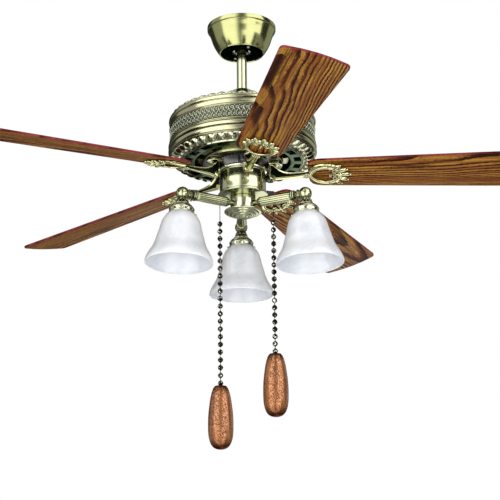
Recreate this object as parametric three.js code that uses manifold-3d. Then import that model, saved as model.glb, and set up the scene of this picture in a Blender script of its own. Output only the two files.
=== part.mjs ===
// Five-blade ceiling fan with a three-lamp light kit, in antique brass and walnut.
// Millimetres, +Z up. The origin is on the fan's axis, in the plane of the ceiling.
import * as THREE from 'three';
import { mergeVertices } from 'three/addons/utils/BufferGeometryUtils.js';
import Module from 'manifold-3d';

const wasm = await Module();
wasm.setup();

// ---------------------------------------------------------------- driving dimensions
// Clearances
const touch = 0.3; // between two pieces that rest on each other
const running = 0.3; // radial, between a turning piece and what carries it

// Ceiling bracket, hanger ball and canopy
const bracketWidth = 36;
const bracketPlate = 3;
const boxScrewSpacing = 88.9; // between the two slots for the ceiling box's screws
const bracketEnds = 17.1; // how much longer the bracket is than that spacing
const boxScrewSlotLength = 9;
const boxScrewSlotWidth = 4.6;
const leadHoleRadius = 5;
const ballRadius = 27;
const ballCentreDepth = 34; // below the ceiling
const ballTopAbove = 8; // flat top of the ball, above its centre
const ballBottomBelow = 20; // flat bottom of the ball, below its centre
const seatDepth = 57; // underside of the bracket's ball seat
const seatRadius = 34;
const seatFacets = 16;
const seatRows = 3; // facets from the seat's mouth to its upper edge
const ballRows = 4; // facets from the ball's lower edge to its upper edge
const seatClearance = 0.1; // at the nearest point of a tilted ball
const seatTabReach = 44; // screw tabs that carry the canopy
const seatTabWidth = 16;
const bracketLegWidth = 28;
const hookSlotGap = 1.5; // each side of the rod, in the seat's open side
const canopyRadius = 75.5;
const canopyLipRadius = 48.2;
const canopyDepth = 63.4;
const canopyWall = 2;
const canopyMouth = 20.5; // radius of the hole round the rod
const canopyRimHeight = 9;
const canopyStepWidth = 3.2; // the step between the canopy's rim and its bowl
const canopyStepHeight = 2.6;
const coverRingThickness = 2.5;

// Downrod, yoke and motor shaft
const rodRadius = 11;
const rodBore = 8;
const rodTop = -14;
const rodBottom = -178;
const pinRadius = 3;
const ballPinHalf = 18;
const yokePinRadius = 2.5;
const yokePinDrop = 8; // from the rod's lower end up to its pin
const yokeCollarRadius = 17;
const yokeTop = -162;
const yokeFlangeRadius = 38;
const yokeFlangeThickness = 4;
const yokeFillet = 2;
const yokeCoverRise = 38; // height of the bell that covers the yoke
const yokeCoverRadius = 44;
const yokeCoverWall = 1.5;
const shaftRadius = 10;
const shaftBore = 7;

// Motor housing
const housingTopPlate = -190.3; // flat centre of the upper shell
const upperRimHeight = -224; // where the upper shell meets the band
const lowerRimHeight = -308; // where the band meets the lower ring
const rimRadius = 156.8; // of both gadrooned rims
const bandProud = 3.2; // how far the band's widest moulding stands out from the rims
const bandInset = 2; // from the widest moulding in to the beads beside it
const bandGroove = 4.2; // from the widest moulding in to the upper groove
const upperBeadHeight = 5;
const upperGrooveHeight = 14;
const panelTopHeight = 28; // from the top rim down to the band's flat panel
const panelBottomHeight = 22; // from the lower rim up to the band's flat panel
const lowerBeadHeight = 16.5;
const housingWall = 2.2;
const lobeCount = 42; // gadroons round each rim
const lobeSpan = 24.8; // from the rim in to where the gadroons end
const lobeRise = 12.5;
const lobeDepth = 4.2;
const housingFacets = lobeCount;
const housingLip = 1.5; // flat between the gadroons and the opening
const grilleWidth = 26.8; // from the grille's outer edge to its inner edge
const grilleOuterRim = 3.3; // solid metal outside the slots
const grilleInnerRim = 8.5; // solid metal inside the slots
const grilleThickness = 2.5;
const grilleSlots = 18;
const grilleBar = 17; // between neighbouring slots

// Motor
const bearingRadius = 22;
const bearingWidth = 7;
const rotorInset = 42.8; // from the rims in to the rotor's case
const rotorTop = -226;
const rotorShoulder = -299;
const rotorWall = 3.5;
const rotorCrown = 13; // height of the case's rounded top edge
const rotorTaper = 16; // from the case in to the bell's lower edge
const rotorBellHeight = 16.5;
const rotorBellStep = 1;
const rotorHubRise = 8; // from the flange's face up to the hub
const flangeOuter = 87; // the ring that the blade irons are screwed to
const flangeInner = 56;
const flangeFace = -324;
const rotorWindows = 10;
const rotorWindowWidth = 26;
const rotorWindowInset = 11; // from the case in to the windows
const rotorWindowDepth = 16;
const rotorWindowHeight = 30;
const statorInset = 22; // from the rotor's case in to the stator
const statorHeight = 14;
const windingInner = 54;
const windingInset = 14; // from the stator's edge in to the windings
const windingRise = 7; // of the windings above and below the core

// Blades and blade irons
const bladeCount = 5;
const firstBladeAngle = -78.4; // degrees from +X, counter-clockwise seen from above
const bladePitch = 13.1; // degrees
const bladeDroop = 1.8; // degrees
const spanRadius = 660; // 52 inches over the blades
const bladeRoot = 141;
const bladeRootWidth = 95;
const bladeTipWidth = 133;
const bladeThickness = 5.5;
const bladeRootCorner = 27;
const bladeTipCorner = 15;
const bladeTipBulge = 8;
const bladePivotRadius = 150; // where the underside's height is taken
const bladeUnderside = -351.4;
const ironThickness = 7;
const loopCentre = 178;
const loopHalfLength = 34; // to the middle of the loop's bar
const loopHalfWidth = 31;
const loopBar = 9.5;
const leafStart = 205;
const leafLength = 39;
const leafHalfWidth = 23;
const leafThickness = 5.5;
const ironArmWidth = 16;
const footThickness = 5;
const footWidth = 24;
const scrollRadius = 6;
const scrollWidth = 17;
const footInset = 1.5;

// Switch housing
const switchPlateTop = -336.5;
const switchPlateRadius = 52;
const switchPlateHeight = 9.5;
const switchHousingRadius = 49.5;
const switchHousingHeight = 47.7;
const switchHousingWall = 2;
const switchHousingFlange = 14; // the inward flange that is screwed to the plate
const switchPlateNeck = 3; // step from the plate down to the housing's radius
const switchPlateRecess = 4.5;
const switchBodyDepth = 20;
const switchBodyWidth = 24;
const switchBodyHeight = 20;
const switchBodyGap = 2; // between the housing's wall and each switch's body

// Light kit
const lampCount = 3;
const firstLampAngle = 91.7; // degrees from +X
const fitterPlateRadius = 54;
const fitterPlateHeight = 5.2;
const fitterPlateBore = 7; // for the lamp leads
const fitterPlateRim = 2.4;
const fitterPlateSlope = 12; // width of the flare below the rim
const fitterPlateSlopeDrop = 4.2;
const fitterRadius = 27;
const fitterHeight = 29.9;
const fitterWall = 2.5;
const capRadius = 40;
const capHeight = 14.5;
const capStepWidth = 1.5;
const armHeight = -416.5;
const armRadius = 11.5;
const armNeckRadius = 7;
const armNeckLength = 4;
const armReeds = 8;
const reedDepth = 1.5;
const collarLength = 13; // of the turned collar beside the elbow
const collarRadius = 12;
const armReach = 148; // from the fan's axis to the elbow's centre
const lampSplay = 3; // degrees that each lamp leans outwards
const elbowBallRadius = 14;
const elbowCupRadius = 15.5;
const elbowCupBottom = -440;
const galleryRadius = 27;
const galleryDome = 12;
const gallerySkirt = 9;
const galleryWall = 1.5;
const shadeNeckRadius = 24.5;
const shadeWaistRadius = 55.5;
const shadeRimRadius = 71;
const shadeHeight = 121;
const shadeFlare = 38; // height of the flare below the waist
const shadeLip = 1.5; // how far the lip turns in again below the rim
const shadeWall = 3;
const socketRadius = 16;
const socketHeight = 33;
const socketDepth = 20; // of the hollow that takes the bulb
const bulbRadius = 19.5;
const bulbLength = 50;
const bulbStemRadius = 12.5;

// Pull chains
const chainWire = 0.8;
const chainBeadRadius = 5.6;
const chainPull = 10; // how far each chain draws out
const sleeveRadius = 4.5;
const sleeveLength = 15;
const sleeveTop = -378;
const pullLength = 133;
const pullRadius = 25.7;
const pullSocket = 6; // hole for the end of the chain
const chainTail = 1; // wire below the last bead, above the drop
const fanChain = { x: -50, y: 40, firstBead: -444.8, beadPitch: 16.7, beads: 22 };
const lightChain = { x: 64.6, y: 20, firstBead: -450, beadPitch: 15.7, beads: 19 };

// Reversing switch
const slotWidth = 12;
const slotHeight = 8;
const slotDepth = -368;
const sliderProud = 3;
const reverseBodyDepth = 12;
const reverseBodyWidth = 22;
const reverseBodyHeight = 14;
const reverseBodyGap = 0.5; // between the housing's wall and the reversing switch
const sliderTravel = 5;

// Capacitor
const capacitorDepth = 16;
const capacitorWidth = 36;
const capacitorHeight = 24;
const capacitorReach = 28;

// ---------------------------------------------------------------- derived sizes
const housingRadius = rimRadius + bandProud;
const lobeInner = rimRadius - lobeSpan;
const housingOpening = lobeInner - housingLip;
const rotorRadius = rimRadius - rotorInset;
const rotorBellRadius = rotorRadius - rotorTaper;
const rotorWindowOuter = rotorRadius - rotorWindowInset;
const rotorWindowInner = rotorWindowOuter - rotorWindowDepth;
const statorRadius = rotorRadius - statorInset;
const windingOuter = statorRadius - windingInset;
const grilleOuter = housingOpening * Math.cos(Math.PI / lobeCount) - touch;
const grilleInner = grilleOuter - grilleWidth;
const grilleSlotOuter = grilleOuter - grilleOuterRim;
const grilleSlotInner = grilleInner + grilleInnerRim;
const yokeFlangeBottom = housingTopPlate + touch;
const flareTop = switchPlateTop - switchPlateHeight - touch - switchHousingHeight - touch;
const fitterTop = flareTop - fitterPlateHeight - touch;
const capTop = fitterTop - fitterHeight - touch;
const galleryTop = elbowCupBottom - touch;
const galleryCeiling = galleryTop - galleryDome + galleryWall;
const lobeLip = { upper: upperRimHeight + lobeRise, lower: lowerRimHeight - lobeRise };

// ---------------------------------------------------------------- materials
const finish = (color, metalness, roughness) => new THREE.MeshStandardMaterial({ color, metalness, roughness });
const antiqueBrass = finish(0x8f8a4a, 1, 0.32);
const darkBronze = finish(0x2f382c, 0.9, 0.45);
const castAluminium = finish(0x4a5248, 0.9, 0.5);
const steel = finish(0x8a8d90, 1, 0.4);
const copper = finish(0x9a5a30, 1, 0.45);
const walnut = finish(0x7a4a24, 0, 0.45);
const turnedWood = finish(0x7d3f22, 0, 0.4);
const alabasterGlass = finish(0xeef0f2, 0, 0.25);
const bulbGlass = finish(0xf8f6ee, 0, 0.2);
const blackPlastic = finish(0x1b1b1b, 0, 0.5);

// ---------------------------------------------------------------- geometry helpers
const degrees = (value) => THREE.MathUtils.degToRad(value);
const point = (x, y, z) => new THREE.Vector3(x, y, z);

function signedVolume(geometry) {
  const position = geometry.attributes.position;
  const index = geometry.index;
  const corners = [point(), point(), point()];
  let total = 0;
  for (let i = 0; i < index.count; i += 3) {
    corners.forEach((corner, k) => corner.fromBufferAttribute(position, index.getX(i + k)));
    total += corners[0].dot(corners[1].clone().cross(corners[2]));
  }
  return total / 6;
}

// Merges shared vertices, and turns the faces round if they point in.
function tidy(geometry) {
  const bare = geometry.clone();
  bare.deleteAttribute('normal');
  bare.deleteAttribute('uv');
  const merged = mergeVertices(bare, 1e-4);
  const order = Array.from(merged.index.array);
  const kept = [];
  for (let i = 0; i < order.length; i += 3) {
    const [a, b, c] = order.slice(i, i + 3);
    if (a !== b && b !== c && c !== a) kept.push(a, b, c);
  }
  merged.setIndex(kept);
  if (signedVolume(merged) < 0) {
    merged.setIndex(kept.reverse());
  }
  merged.computeVertexNormals();
  return merged;
}

// A profile of [radius, height] points turned about Z. It closes on itself or starts and ends on the axis.
function revolve(profile, facets) {
  const points = profile.map(([radius, height]) => new THREE.Vector2(radius, height));
  const onAxis = points[0].x === 0 && points[points.length - 1].x === 0;
  if (!onAxis) points.push(points[0].clone());
  return tidy(new THREE.LatheGeometry(points, facets).rotateX(Math.PI / 2));
}

// Joins two rings of points with triangles. One ring's count is a whole multiple of the other's.
function stitch(faces, startA, countA, startB, countB) {
  const steps = Math.max(countA, countB);
  const along = (start, count, i) => start + (Math.round((i * count) / steps) % count);
  for (let i = 0; i < steps; i += 1) {
    const a0 = along(startA, countA, i);
    const a1 = along(startA, countA, i + 1);
    const b0 = along(startB, countB, i);
    const b1 = along(startB, countB, i + 1);
    if (b0 !== b1) faces.push(a0, b0, b1);
    if (a0 !== a1) faces.push(a0, b1, a1);
  }
}

// Skins a row of closed sections. The skin closes on its first section, or both ends are capped.
function loft(sections, closed = false) {
  const vertices = sections.flat();
  const starts = [];
  sections.reduce((start, section) => {
    starts.push(start);
    return start + section.length;
  }, 0);
  const faces = [];
  const last = sections.length - 1;
  for (let s = 0; s < last; s += 1) {
    stitch(faces, starts[s], sections[s].length, starts[s + 1], sections[s + 1].length);
  }
  if (closed) {
    stitch(faces, starts[last], sections[last].length, starts[0], sections[0].length);
  } else {
    capEnd(vertices, faces, sections[0], starts[0], true);
    capEnd(vertices, faces, sections[last], starts[last], false);
  }
  const geometry = new THREE.BufferGeometry().setFromPoints(vertices);
  geometry.setIndex(faces);
  return tidy(geometry);
}

function capEnd(vertices, faces, section, start, first) {
  const centre = section.reduce((sum, corner) => sum.add(corner), point(0, 0, 0)).divideScalar(section.length);
  vertices.push(centre);
  const hub = vertices.length - 1;
  section.forEach((_, i) => {
    const here = start + i;
    const next = start + ((i + 1) % section.length);
    faces.push(hub, first ? here : next, first ? next : here);
  });
}

// A ring of points round Z. place(turn) gives [radius, height].
function ring(count, place) {
  return Array.from({ length: count }, (_, i) => {
    const turn = (2 * Math.PI * i) / count;
    const [radius, height] = place(turn);
    return point(radius * Math.cos(turn), radius * Math.sin(turn), height);
  });
}

const plainRing = (count, radius, height) => ring(count, () => [radius, height]);

// An oval section in the YZ plane at a given X, turned about X by a twist in degrees.
function oval(x, centreZ, width, height, twist, corners = 6) {
  return Array.from({ length: corners }, (_, i) => {
    const turn = (2 * Math.PI * (i + 0.5)) / corners;
    const corner = point(0, (width / 2) * Math.cos(turn), (height / 2) * Math.sin(turn));
    corner.applyAxisAngle(point(1, 0, 0), degrees(twist));
    return corner.add(point(x, 0, centreZ));
  });
}

function extrude(shape, depth, curveSegments = 6) {
  return tidy(new THREE.ExtrudeGeometry(shape, { depth, bevelEnabled: false, curveSegments }));
}

function box(width, depth, height, x, y, z) {
  return tidy(new THREE.BoxGeometry(width, depth, height).translate(x, y, z));
}

// A round bar between two points.
function bar(radius, from, to, facets = 16) {
  const axis = to.clone().sub(from);
  const cylinder = new THREE.CylinderGeometry(radius, radius, axis.length(), facets);
  cylinder.applyQuaternion(new THREE.Quaternion().setFromUnitVectors(point(0, 1, 0), axis.clone().normalize()));
  const middle = from.clone().add(to).divideScalar(2);
  return tidy(cylinder.translate(middle.x, middle.y, middle.z));
}

function toSolid(geometry) {
  const mesh = new wasm.Mesh({
    numProp: 3,
    vertProperties: new Float32Array(geometry.attributes.position.array),
    triVerts: new Uint32Array(geometry.index.array),
  });
  return new wasm.Manifold(mesh);
}

function fromSolid(solid) {
  const mesh = solid.getMesh();
  const geometry = new THREE.BufferGeometry();
  geometry.setAttribute('position', new THREE.BufferAttribute(new Float32Array(mesh.vertProperties), 3));
  geometry.setIndex(Array.from(mesh.triVerts));
  return tidy(geometry);
}

const join = (first, ...others) => fromSolid(others.reduce((sum, piece) => sum.add(toSolid(piece)), toSolid(first)));
const cut = (base, ...tools) => fromSolid(tools.reduce((rest, tool) => rest.subtract(toSolid(tool)), toSolid(base)));

const fan = new THREE.Group();

function piece(name, geometry, material, parent = fan) {
  const mesh = new THREE.Mesh(geometry, material);
  mesh.name = name;
  parent.add(mesh);
  return mesh;
}

// A group turned about the fan's axis.
function spoke(angle) {
  const group = new THREE.Group();
  group.rotation.z = degrees(angle);
  fan.add(group);
  return group;
}

// ---------------------------------------------------------------- ceiling bracket
function slotShape(x, length, width) {
  const slot = new THREE.Path();
  const half = (length - width) / 2;
  slot.absarc(x + half, 0, width / 2, -Math.PI / 2, Math.PI / 2);
  slot.absarc(x - half, 0, width / 2, Math.PI / 2, (3 * Math.PI) / 2);
  return slot;
}

function bracketTopPlate() {
  const half = bracketWidth / 2;
  const reach = (boxScrewSpacing + bracketEnds) / 2 - half;
  const plate = new THREE.Shape();
  plate.absarc(reach, 0, half, -Math.PI / 2, Math.PI / 2);
  plate.absarc(-reach, 0, half, Math.PI / 2, (3 * Math.PI) / 2);
  plate.holes.push(slotShape(boxScrewSpacing / 2, boxScrewSlotLength, boxScrewSlotWidth));
  plate.holes.push(slotShape(-boxScrewSpacing / 2, boxScrewSlotLength, boxScrewSlotWidth));
  const leadHole = new THREE.Path();
  leadHole.absarc(seatRadius / 2, 0, leadHoleRadius, 0, 2 * Math.PI);
  plate.holes.push(leadHole);
  return extrude(plate, bracketPlate, 4).translate(0, 0, -bracketPlate);
}

// Points on a sphere round the ball's centre, from one tilt above the level to another.
function sphereArc(radius, lowest, highest, rows) {
  return Array.from({ length: rows + 1 }, (_, i) => {
    const tilt = lowest + ((highest - lowest) * i) / rows;
    return [radius * Math.cos(tilt), -ballCentreDepth + radius * Math.sin(tilt)];
  });
}
const ballLowest = Math.asin(-ballBottomBelow / ballRadius);
const ballHighest = Math.asin(ballTopAbove / ballRadius);

// The ball rests in a spherical seat, open on one side so that the rod can be hooked in.
// The seat's flat facets reach inside its radius, so they are drawn wide enough to let the ball tilt.
function ballSeat() {
  const faceted = Math.cos(Math.PI / seatFacets) * Math.cos((ballHighest - ballLowest) / ballRows / 2);
  const sphere = (ballRadius + seatClearance) / faceted;
  const mouth = Math.asin((ballCentreDepth - seatDepth) / sphere);
  const upper = (ballLowest + ballHighest) / 2;
  const arc = sphereArc(sphere, upper, mouth, seatRows);
  return revolve([[seatRadius, -seatDepth], [seatRadius, arc[0][1]], ...arc], seatFacets);
}

function hangerBracket() {
  const legInner = seatRadius - bracketPlate;
  const legHeight = seatDepth - bracketPlate / 2;
  const leg = (side) => box(
    bracketPlate, bracketLegWidth, legHeight, side * (legInner + bracketPlate / 2), 0, -legHeight / 2 - bracketPlate / 2,
  );
  const tabRoot = seatRadius - bracketPlate;
  const tab = (side) => box(
    seatTabReach - tabRoot, seatTabWidth, bracketPlate,
    side * (seatTabReach + tabRoot) / 2, 0, -seatDepth + bracketPlate / 2,
  );
  const hookReach = seatRadius + bracketPlate;
  const hookSlot = box(2 * (rodRadius + hookSlotGap), hookReach, seatDepth, 0, hookReach / 2, -seatDepth);
  const seat = cut(ballSeat(), hookSlot);
  return join(seat, bracketTopPlate(), leg(1), leg(-1), tab(1), tab(-1));
}
piece('hanger_bracket', hangerBracket(), steel);

// ---------------------------------------------------------------- canopy
const canopyFlange = -seatDepth - touch;
const coverRingTop = canopyFlange - canopyWall - touch;

function canopy() {
  const wall = canopyWall;
  const stepRadius = canopyRadius - canopyStepWidth;
  const stepHeight = -canopyRimHeight - canopyStepHeight;
  const bowl = (inward, down) => [
    stepRadius + (canopyLipRadius - stepRadius) * inward, stepHeight + (-canopyDepth - stepHeight) * down,
  ];
  const middle = bowl(0.365, 0.471);
  return revolve([
    [canopyRadius, 0],
    [canopyRadius, -canopyRimHeight],
    [stepRadius, stepHeight],
    middle,
    bowl(0.656, 0.76),
    [canopyLipRadius, -canopyDepth],
    [canopyLipRadius - wall, -canopyDepth],
    [canopyLipRadius - wall, canopyFlange - wall],
    [canopyMouth, canopyFlange - wall],
    [canopyMouth, canopyFlange],
    [canopyLipRadius + wall, canopyFlange],
    [middle[0] - wall, middle[1] + wall / 2],
    [stepRadius - wall, stepHeight + canopyStepHeight],
    [canopyRadius - wall, 0],
  ], 24);
}
piece('canopy', canopy(), antiqueBrass);

piece('canopy_cover_ring', revolve([
  [canopyMouth, coverRingTop],
  [canopyLipRadius - canopyWall - touch, coverRingTop],
  [canopyLipRadius - canopyWall - touch, coverRingTop - coverRingThickness],
  [canopyMouth, coverRingTop - coverRingThickness],
], 24), darkBronze);

// ---------------------------------------------------------------- hanger ball, downrod and yoke
const ballPinHeight = -ballCentreDepth + ballTopAbove + touch + pinRadius;
const yokePinHeight = rodBottom + yokePinDrop;

function hangerBall() {
  const bore = rodRadius + touch;
  return revolve([
    [bore, -ballCentreDepth - ballBottomBelow],
    ...sphereArc(ballRadius, ballLowest, ballHighest, ballRows),
    [bore, -ballCentreDepth + ballTopAbove],
  ], seatFacets);
}
piece('hanger_ball', hangerBall(), castAluminium);

piece(
  'hanger_pin',
  bar(pinRadius, point(-ballPinHalf, 0, ballPinHeight), point(ballPinHalf, 0, ballPinHeight), 10),
  steel,
);

function downrod() {
  const tube = revolve([[rodBore, rodBottom], [rodRadius, rodBottom], [rodRadius, rodTop], [rodBore, rodTop]], 16);
  const across = (radius, height) => bar(
    radius + touch, point(-2 * rodRadius, 0, height), point(2 * rodRadius, 0, height), 10,
  );
  return cut(tube, across(pinRadius, ballPinHeight), across(yokePinRadius, yokePinHeight));
}
piece('downrod', downrod(), antiqueBrass);

function motorYoke() {
  const bore = rodRadius + touch;
  const shelf = rodBottom - touch;
  const body = revolve([
    [bore, yokeTop],
    [bore, shelf],
    [shaftRadius + touch, shelf],
    [shaftRadius + touch, yokeFlangeBottom],
    [yokeFlangeRadius, yokeFlangeBottom],
    [yokeFlangeRadius, yokeFlangeBottom + yokeFlangeThickness],
    [yokeCollarRadius, yokeFlangeBottom + yokeFlangeThickness + yokeFillet],
    [yokeCollarRadius, yokeTop],
  ], 16);
  const pinHole = bar(
    yokePinRadius + touch,
    point(-2 * yokeCollarRadius, 0, yokePinHeight),
    point(2 * yokeCollarRadius, 0, yokePinHeight),
    10,
  );
  return cut(body, pinHole);
}
piece('motor_yoke', motorYoke(), castAluminium);

piece(
  'yoke_pin',
  bar(yokePinRadius, point(-yokeCollarRadius, 0, yokePinHeight), point(yokeCollarRadius, 0, yokePinHeight), 10),
  steel,
);

function yokeCover() {
  const bottom = housingTopPlate + touch;
  const wall = yokeCoverWall;
  const bore = rodRadius + 2 * touch;
  const bell = (outward, up, inset = 0) => [
    bore + (yokeCoverRadius - bore) * outward - inset, bottom + yokeCoverRise * up - inset,
  ];
  const rim = bell(1, 0);
  return revolve([
    bell(0, 1),
    bell(0.19, 1),
    bell(0.51, 0.74),
    bell(0.88, 0.24),
    rim,
    [rim[0] - 2 * wall, bottom],
    bell(0.88, 0.24, wall),
    bell(0.51, 0.74, wall),
    [bore, bottom + yokeCoverRise - 2 * wall],
  ], 18);
}
piece('yoke_cover', yokeCover(), antiqueBrass);

// ---------------------------------------------------------------- motor housing
// Gadroons: a row of rounded lobes that curl over the rim, with a sharp valley between neighbours.
// share runs from 0 at the rim to 1 at the lip, and side is -1 on the lower ring and 1 on the upper shell.
function lobeRing(rimHeight, side, share) {
  const sweep = (share * Math.PI) / 2;
  return ring(3 * lobeCount, (turn) => {
    const phase = (turn * lobeCount) / 2;
    const bulge = lobeDepth * (Math.abs(Math.sin(phase)) - 1);
    const radius = lobeInner + (rimRadius - lobeInner) * Math.cos(sweep) + bulge * Math.cos(sweep);
    const height = rimHeight + side * (lobeRise * Math.sin(sweep) + bulge * Math.sin(sweep));
    return [radius, height];
  });
}

const rimInner = rimRadius - housingWall;

function upperShell() {
  const lip = lobeLip.upper;
  const plate = housingTopPlate;
  const wall = housingWall;
  const centre = shaftRadius + touch;
  const few = housingFacets / 3;
  return loft([
    plainRing(housingFacets, rimInner, upperRimHeight),
    plainRing(housingFacets, rimRadius - 0.8, upperRimHeight),
    lobeRing(upperRimHeight, 1, 0.12),
    lobeRing(upperRimHeight, 1, 0.6),
    plainRing(housingFacets, lobeInner - housingLip, lip - housingLip),
    plainRing(few, yokeCoverRadius + wall, plate),
    plainRing(few, centre, plate),
    plainRing(few, centre, plate - wall),
    plainRing(few, yokeCoverRadius + wall, plate - wall),
    plainRing(few, lobeInner - 2 * wall, lip - 2 * wall),
    plainRing(few, rimInner - 2 * wall, upperRimHeight + wall),
  ], true);
}
piece('motor_housing_top', upperShell(), antiqueBrass);

function housingBand() {
  const top = upperRimHeight - touch;
  const bottom = lowerRimHeight + touch;
  const wide = housingRadius;
  return revolve([
    [rimInner, top],
    [rimRadius, top],
    [wide - bandInset, top - upperBeadHeight],
    [wide - bandGroove, top - upperGrooveHeight],
    [wide - bandInset, top - panelTopHeight],
    [wide, bottom + panelBottomHeight],
    [wide, bottom + lowerBeadHeight],
    [rimRadius, bottom],
    [rimInner, bottom],
  ], housingFacets);
}
piece('motor_housing_band', housingBand(), antiqueBrass);

function lowerRing() {
  const lip = lobeLip.lower;
  const opening = housingOpening;
  return loft([
    plainRing(housingFacets, rimInner, lowerRimHeight),
    plainRing(housingFacets, rimRadius - 0.8, lowerRimHeight),
    lobeRing(lowerRimHeight, -1, 0.1),
    lobeRing(lowerRimHeight, -1, 0.65),
    plainRing(housingFacets, opening, lip),
    plainRing(housingFacets, opening, lip + housingWall),
  ], true);
}
piece('motor_housing_lower_ring', lowerRing(), antiqueBrass);

// A stamped plate with a row of wedge-shaped vents, let into the lower ring's opening.
function ventGrille() {
  const plate = new THREE.Shape();
  plate.absarc(0, 0, grilleOuter, 0, 2 * Math.PI);
  const hole = new THREE.Path();
  hole.absarc(0, 0, grilleInner, 0, 2 * Math.PI, true);
  plate.holes.push(hole);
  const pitch = (2 * Math.PI) / grilleSlots;
  for (let i = 0; i < grilleSlots; i += 1) {
    const middle = (i + 0.5) * pitch;
    const halfAt = (radius) => pitch / 2 - grilleBar / 2 / radius;
    const slot = new THREE.Path();
    const corner = (radius, side) => {
      const turn = middle + side * halfAt(radius);
      return [radius * Math.cos(turn), radius * Math.sin(turn)];
    };
    slot.moveTo(...corner(grilleSlotInner, -1));
    slot.lineTo(...corner(grilleSlotOuter, -1));
    slot.lineTo(...corner(grilleSlotOuter, 1));
    slot.lineTo(...corner(grilleSlotInner, 1));
    slot.closePath();
    plate.holes.push(slot);
  }
  const flat = extrude(plate, grilleThickness, housingFacets / 3);
  return flat.translate(0, 0, lobeLip.lower);
}
piece('vent_grille', ventGrille(), darkBronze);

// ---------------------------------------------------------------- motor
const shaftBottom = switchPlateTop - switchPlateHeight;
piece('motor_shaft', revolve([
  [shaftBore, shaftBottom],
  [shaftRadius, shaftBottom],
  [shaftRadius, rodBottom - 2 * touch],
  [shaftBore, rodBottom - 2 * touch],
], 14), steel);

const bearingInner = shaftRadius + touch;
const rotorBore = bearingRadius + running;
const lowerBearingBottom = flangeFace + rotorHubRise;

function bearing(bottom) {
  return revolve([
    [bearingInner, bottom],
    [bearingRadius, bottom],
    [bearingRadius, bottom + bearingWidth],
    [bearingInner, bottom + bearingWidth],
  ], 14);
}
piece('motor_bearing_upper', bearing(rotorTop - bearingWidth), steel);
piece('motor_bearing_lower', bearing(lowerBearingBottom), steel);

function stator() {
  const middle = (rotorTop + lowerBearingBottom) / 2;
  const half = statorHeight / 2;
  const winding = half + windingRise;
  const slope = windingRise;
  return revolve([
    [bearingInner, middle - half],
    [windingInner - slope, middle - half],
    [windingInner, middle - winding],
    [windingOuter, middle - winding],
    [statorRadius, middle - half],
    [statorRadius, middle + half],
    [windingOuter, middle + winding],
    [windingInner, middle + winding],
    [windingInner - slope, middle + half],
    [bearingInner, middle + half],
  ], 14);
}
piece('stator', stator(), copper);

// The outer rotor: a case that turns round the stator, with a ring below for the blade irons.
function rotor() {
  const wall = rotorWall;
  const hubBottom = lowerBearingBottom;
  const bellBottom = rotorShoulder - rotorBellHeight;
  const shell = revolve([
    [rotorBore, rotorTop],
    [rotorRadius - rotorCrown, rotorTop - wall],
    [rotorRadius, rotorTop - rotorCrown],
    [rotorRadius, rotorShoulder],
    [rotorBellRadius, bellBottom],
    [flangeOuter, bellBottom - rotorBellStep],
    [flangeOuter, flangeFace],
    [flangeInner, flangeFace],
    [flangeInner, hubBottom],
    [rotorBore, hubBottom],
    [rotorBore, hubBottom + bearingWidth],
    [flangeOuter + wall, hubBottom + bearingWidth],
    [rotorRadius - wall, rotorShoulder + wall],
    [rotorRadius - wall, rotorTop - rotorCrown - wall],
    [rotorBore, rotorTop - bearingWidth],
  ], 20);
  const windowMiddle = (rotorWindowInner + rotorWindowOuter) / 2;
  const windows = Array.from({ length: rotorWindows }, (_, i) => {
    const window = box(
      rotorWindowOuter - rotorWindowInner, rotorWindowWidth, rotorWindowHeight, windowMiddle, 0, bellBottom,
    );
    return window.rotateZ((2 * Math.PI * (i + 0.5)) / rotorWindows);
  });
  return cut(shell, ...windows);
}
piece('rotor', rotor(), castAluminium);

// ---------------------------------------------------------------- blades and blade irons
// The blade lies in a frame whose origin is on its underside, at the pivot radius.
function bladeFrame() {
  const frame = new THREE.Object3D();
  frame.position.set(bladePivotRadius, 0, bladeUnderside);
  frame.rotation.order = 'YXZ';
  frame.rotation.set(degrees(-bladePitch), degrees(bladeDroop), 0);
  frame.updateMatrix();
  return frame;
}

function bladeOutline() {
  const root = bladeRoot - bladePivotRadius;
  const tip = spanRadius - bladePivotRadius - bladeTipBulge;
  const rootHalf = bladeRootWidth / 2;
  const tipHalf = bladeTipWidth / 2;
  const flare = (tipHalf - rootHalf) / (tip - root);
  const rootEdge = rootHalf + flare * bladeRootCorner;
  const tipEdge = tipHalf - flare * bladeTipCorner;
  const outline = new THREE.Shape();
  outline.moveTo(root, -rootHalf + bladeRootCorner);
  outline.quadraticCurveTo(root, -rootHalf, root + bladeRootCorner, -rootEdge);
  outline.lineTo(tip - bladeTipCorner, -tipEdge);
  outline.quadraticCurveTo(tip, -tipHalf, tip + 1, -tipHalf + bladeTipCorner);
  outline.quadraticCurveTo(tip + 2 * bladeTipBulge - 1, 0, tip + 1, tipHalf - bladeTipCorner);
  outline.quadraticCurveTo(tip, tipHalf, tip - bladeTipCorner, tipEdge);
  outline.lineTo(root + bladeRootCorner, rootEdge);
  outline.quadraticCurveTo(root, rootHalf, root, rootHalf - bladeRootCorner);
  outline.closePath();
  return outline;
}

// The open loop under the blade: an oval bar with a flattened round section.
function ironLoop() {
  const sections = 12;
  const corners = 4;
  return loft(Array.from({ length: sections }, (_, i) => {
    const turn = (2 * Math.PI * i) / sections;
    const outward = point(Math.cos(turn) / loopHalfLength, Math.sin(turn) / loopHalfWidth, 0).normalize();
    const middle = point(
      loopCentre - bladePivotRadius + loopHalfLength * Math.cos(turn),
      loopHalfWidth * Math.sin(turn),
      -touch - ironThickness / 2,
    );
    return Array.from({ length: corners }, (__, k) => {
      const round = (2 * Math.PI * (k + 0.5)) / corners;
      const corner = outward.clone().multiplyScalar((loopBar / 2) * Math.cos(round));
      corner.z = (ironThickness / 2) * Math.sin(round);
      return corner.add(middle);
    });
  }), true);
}

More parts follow.
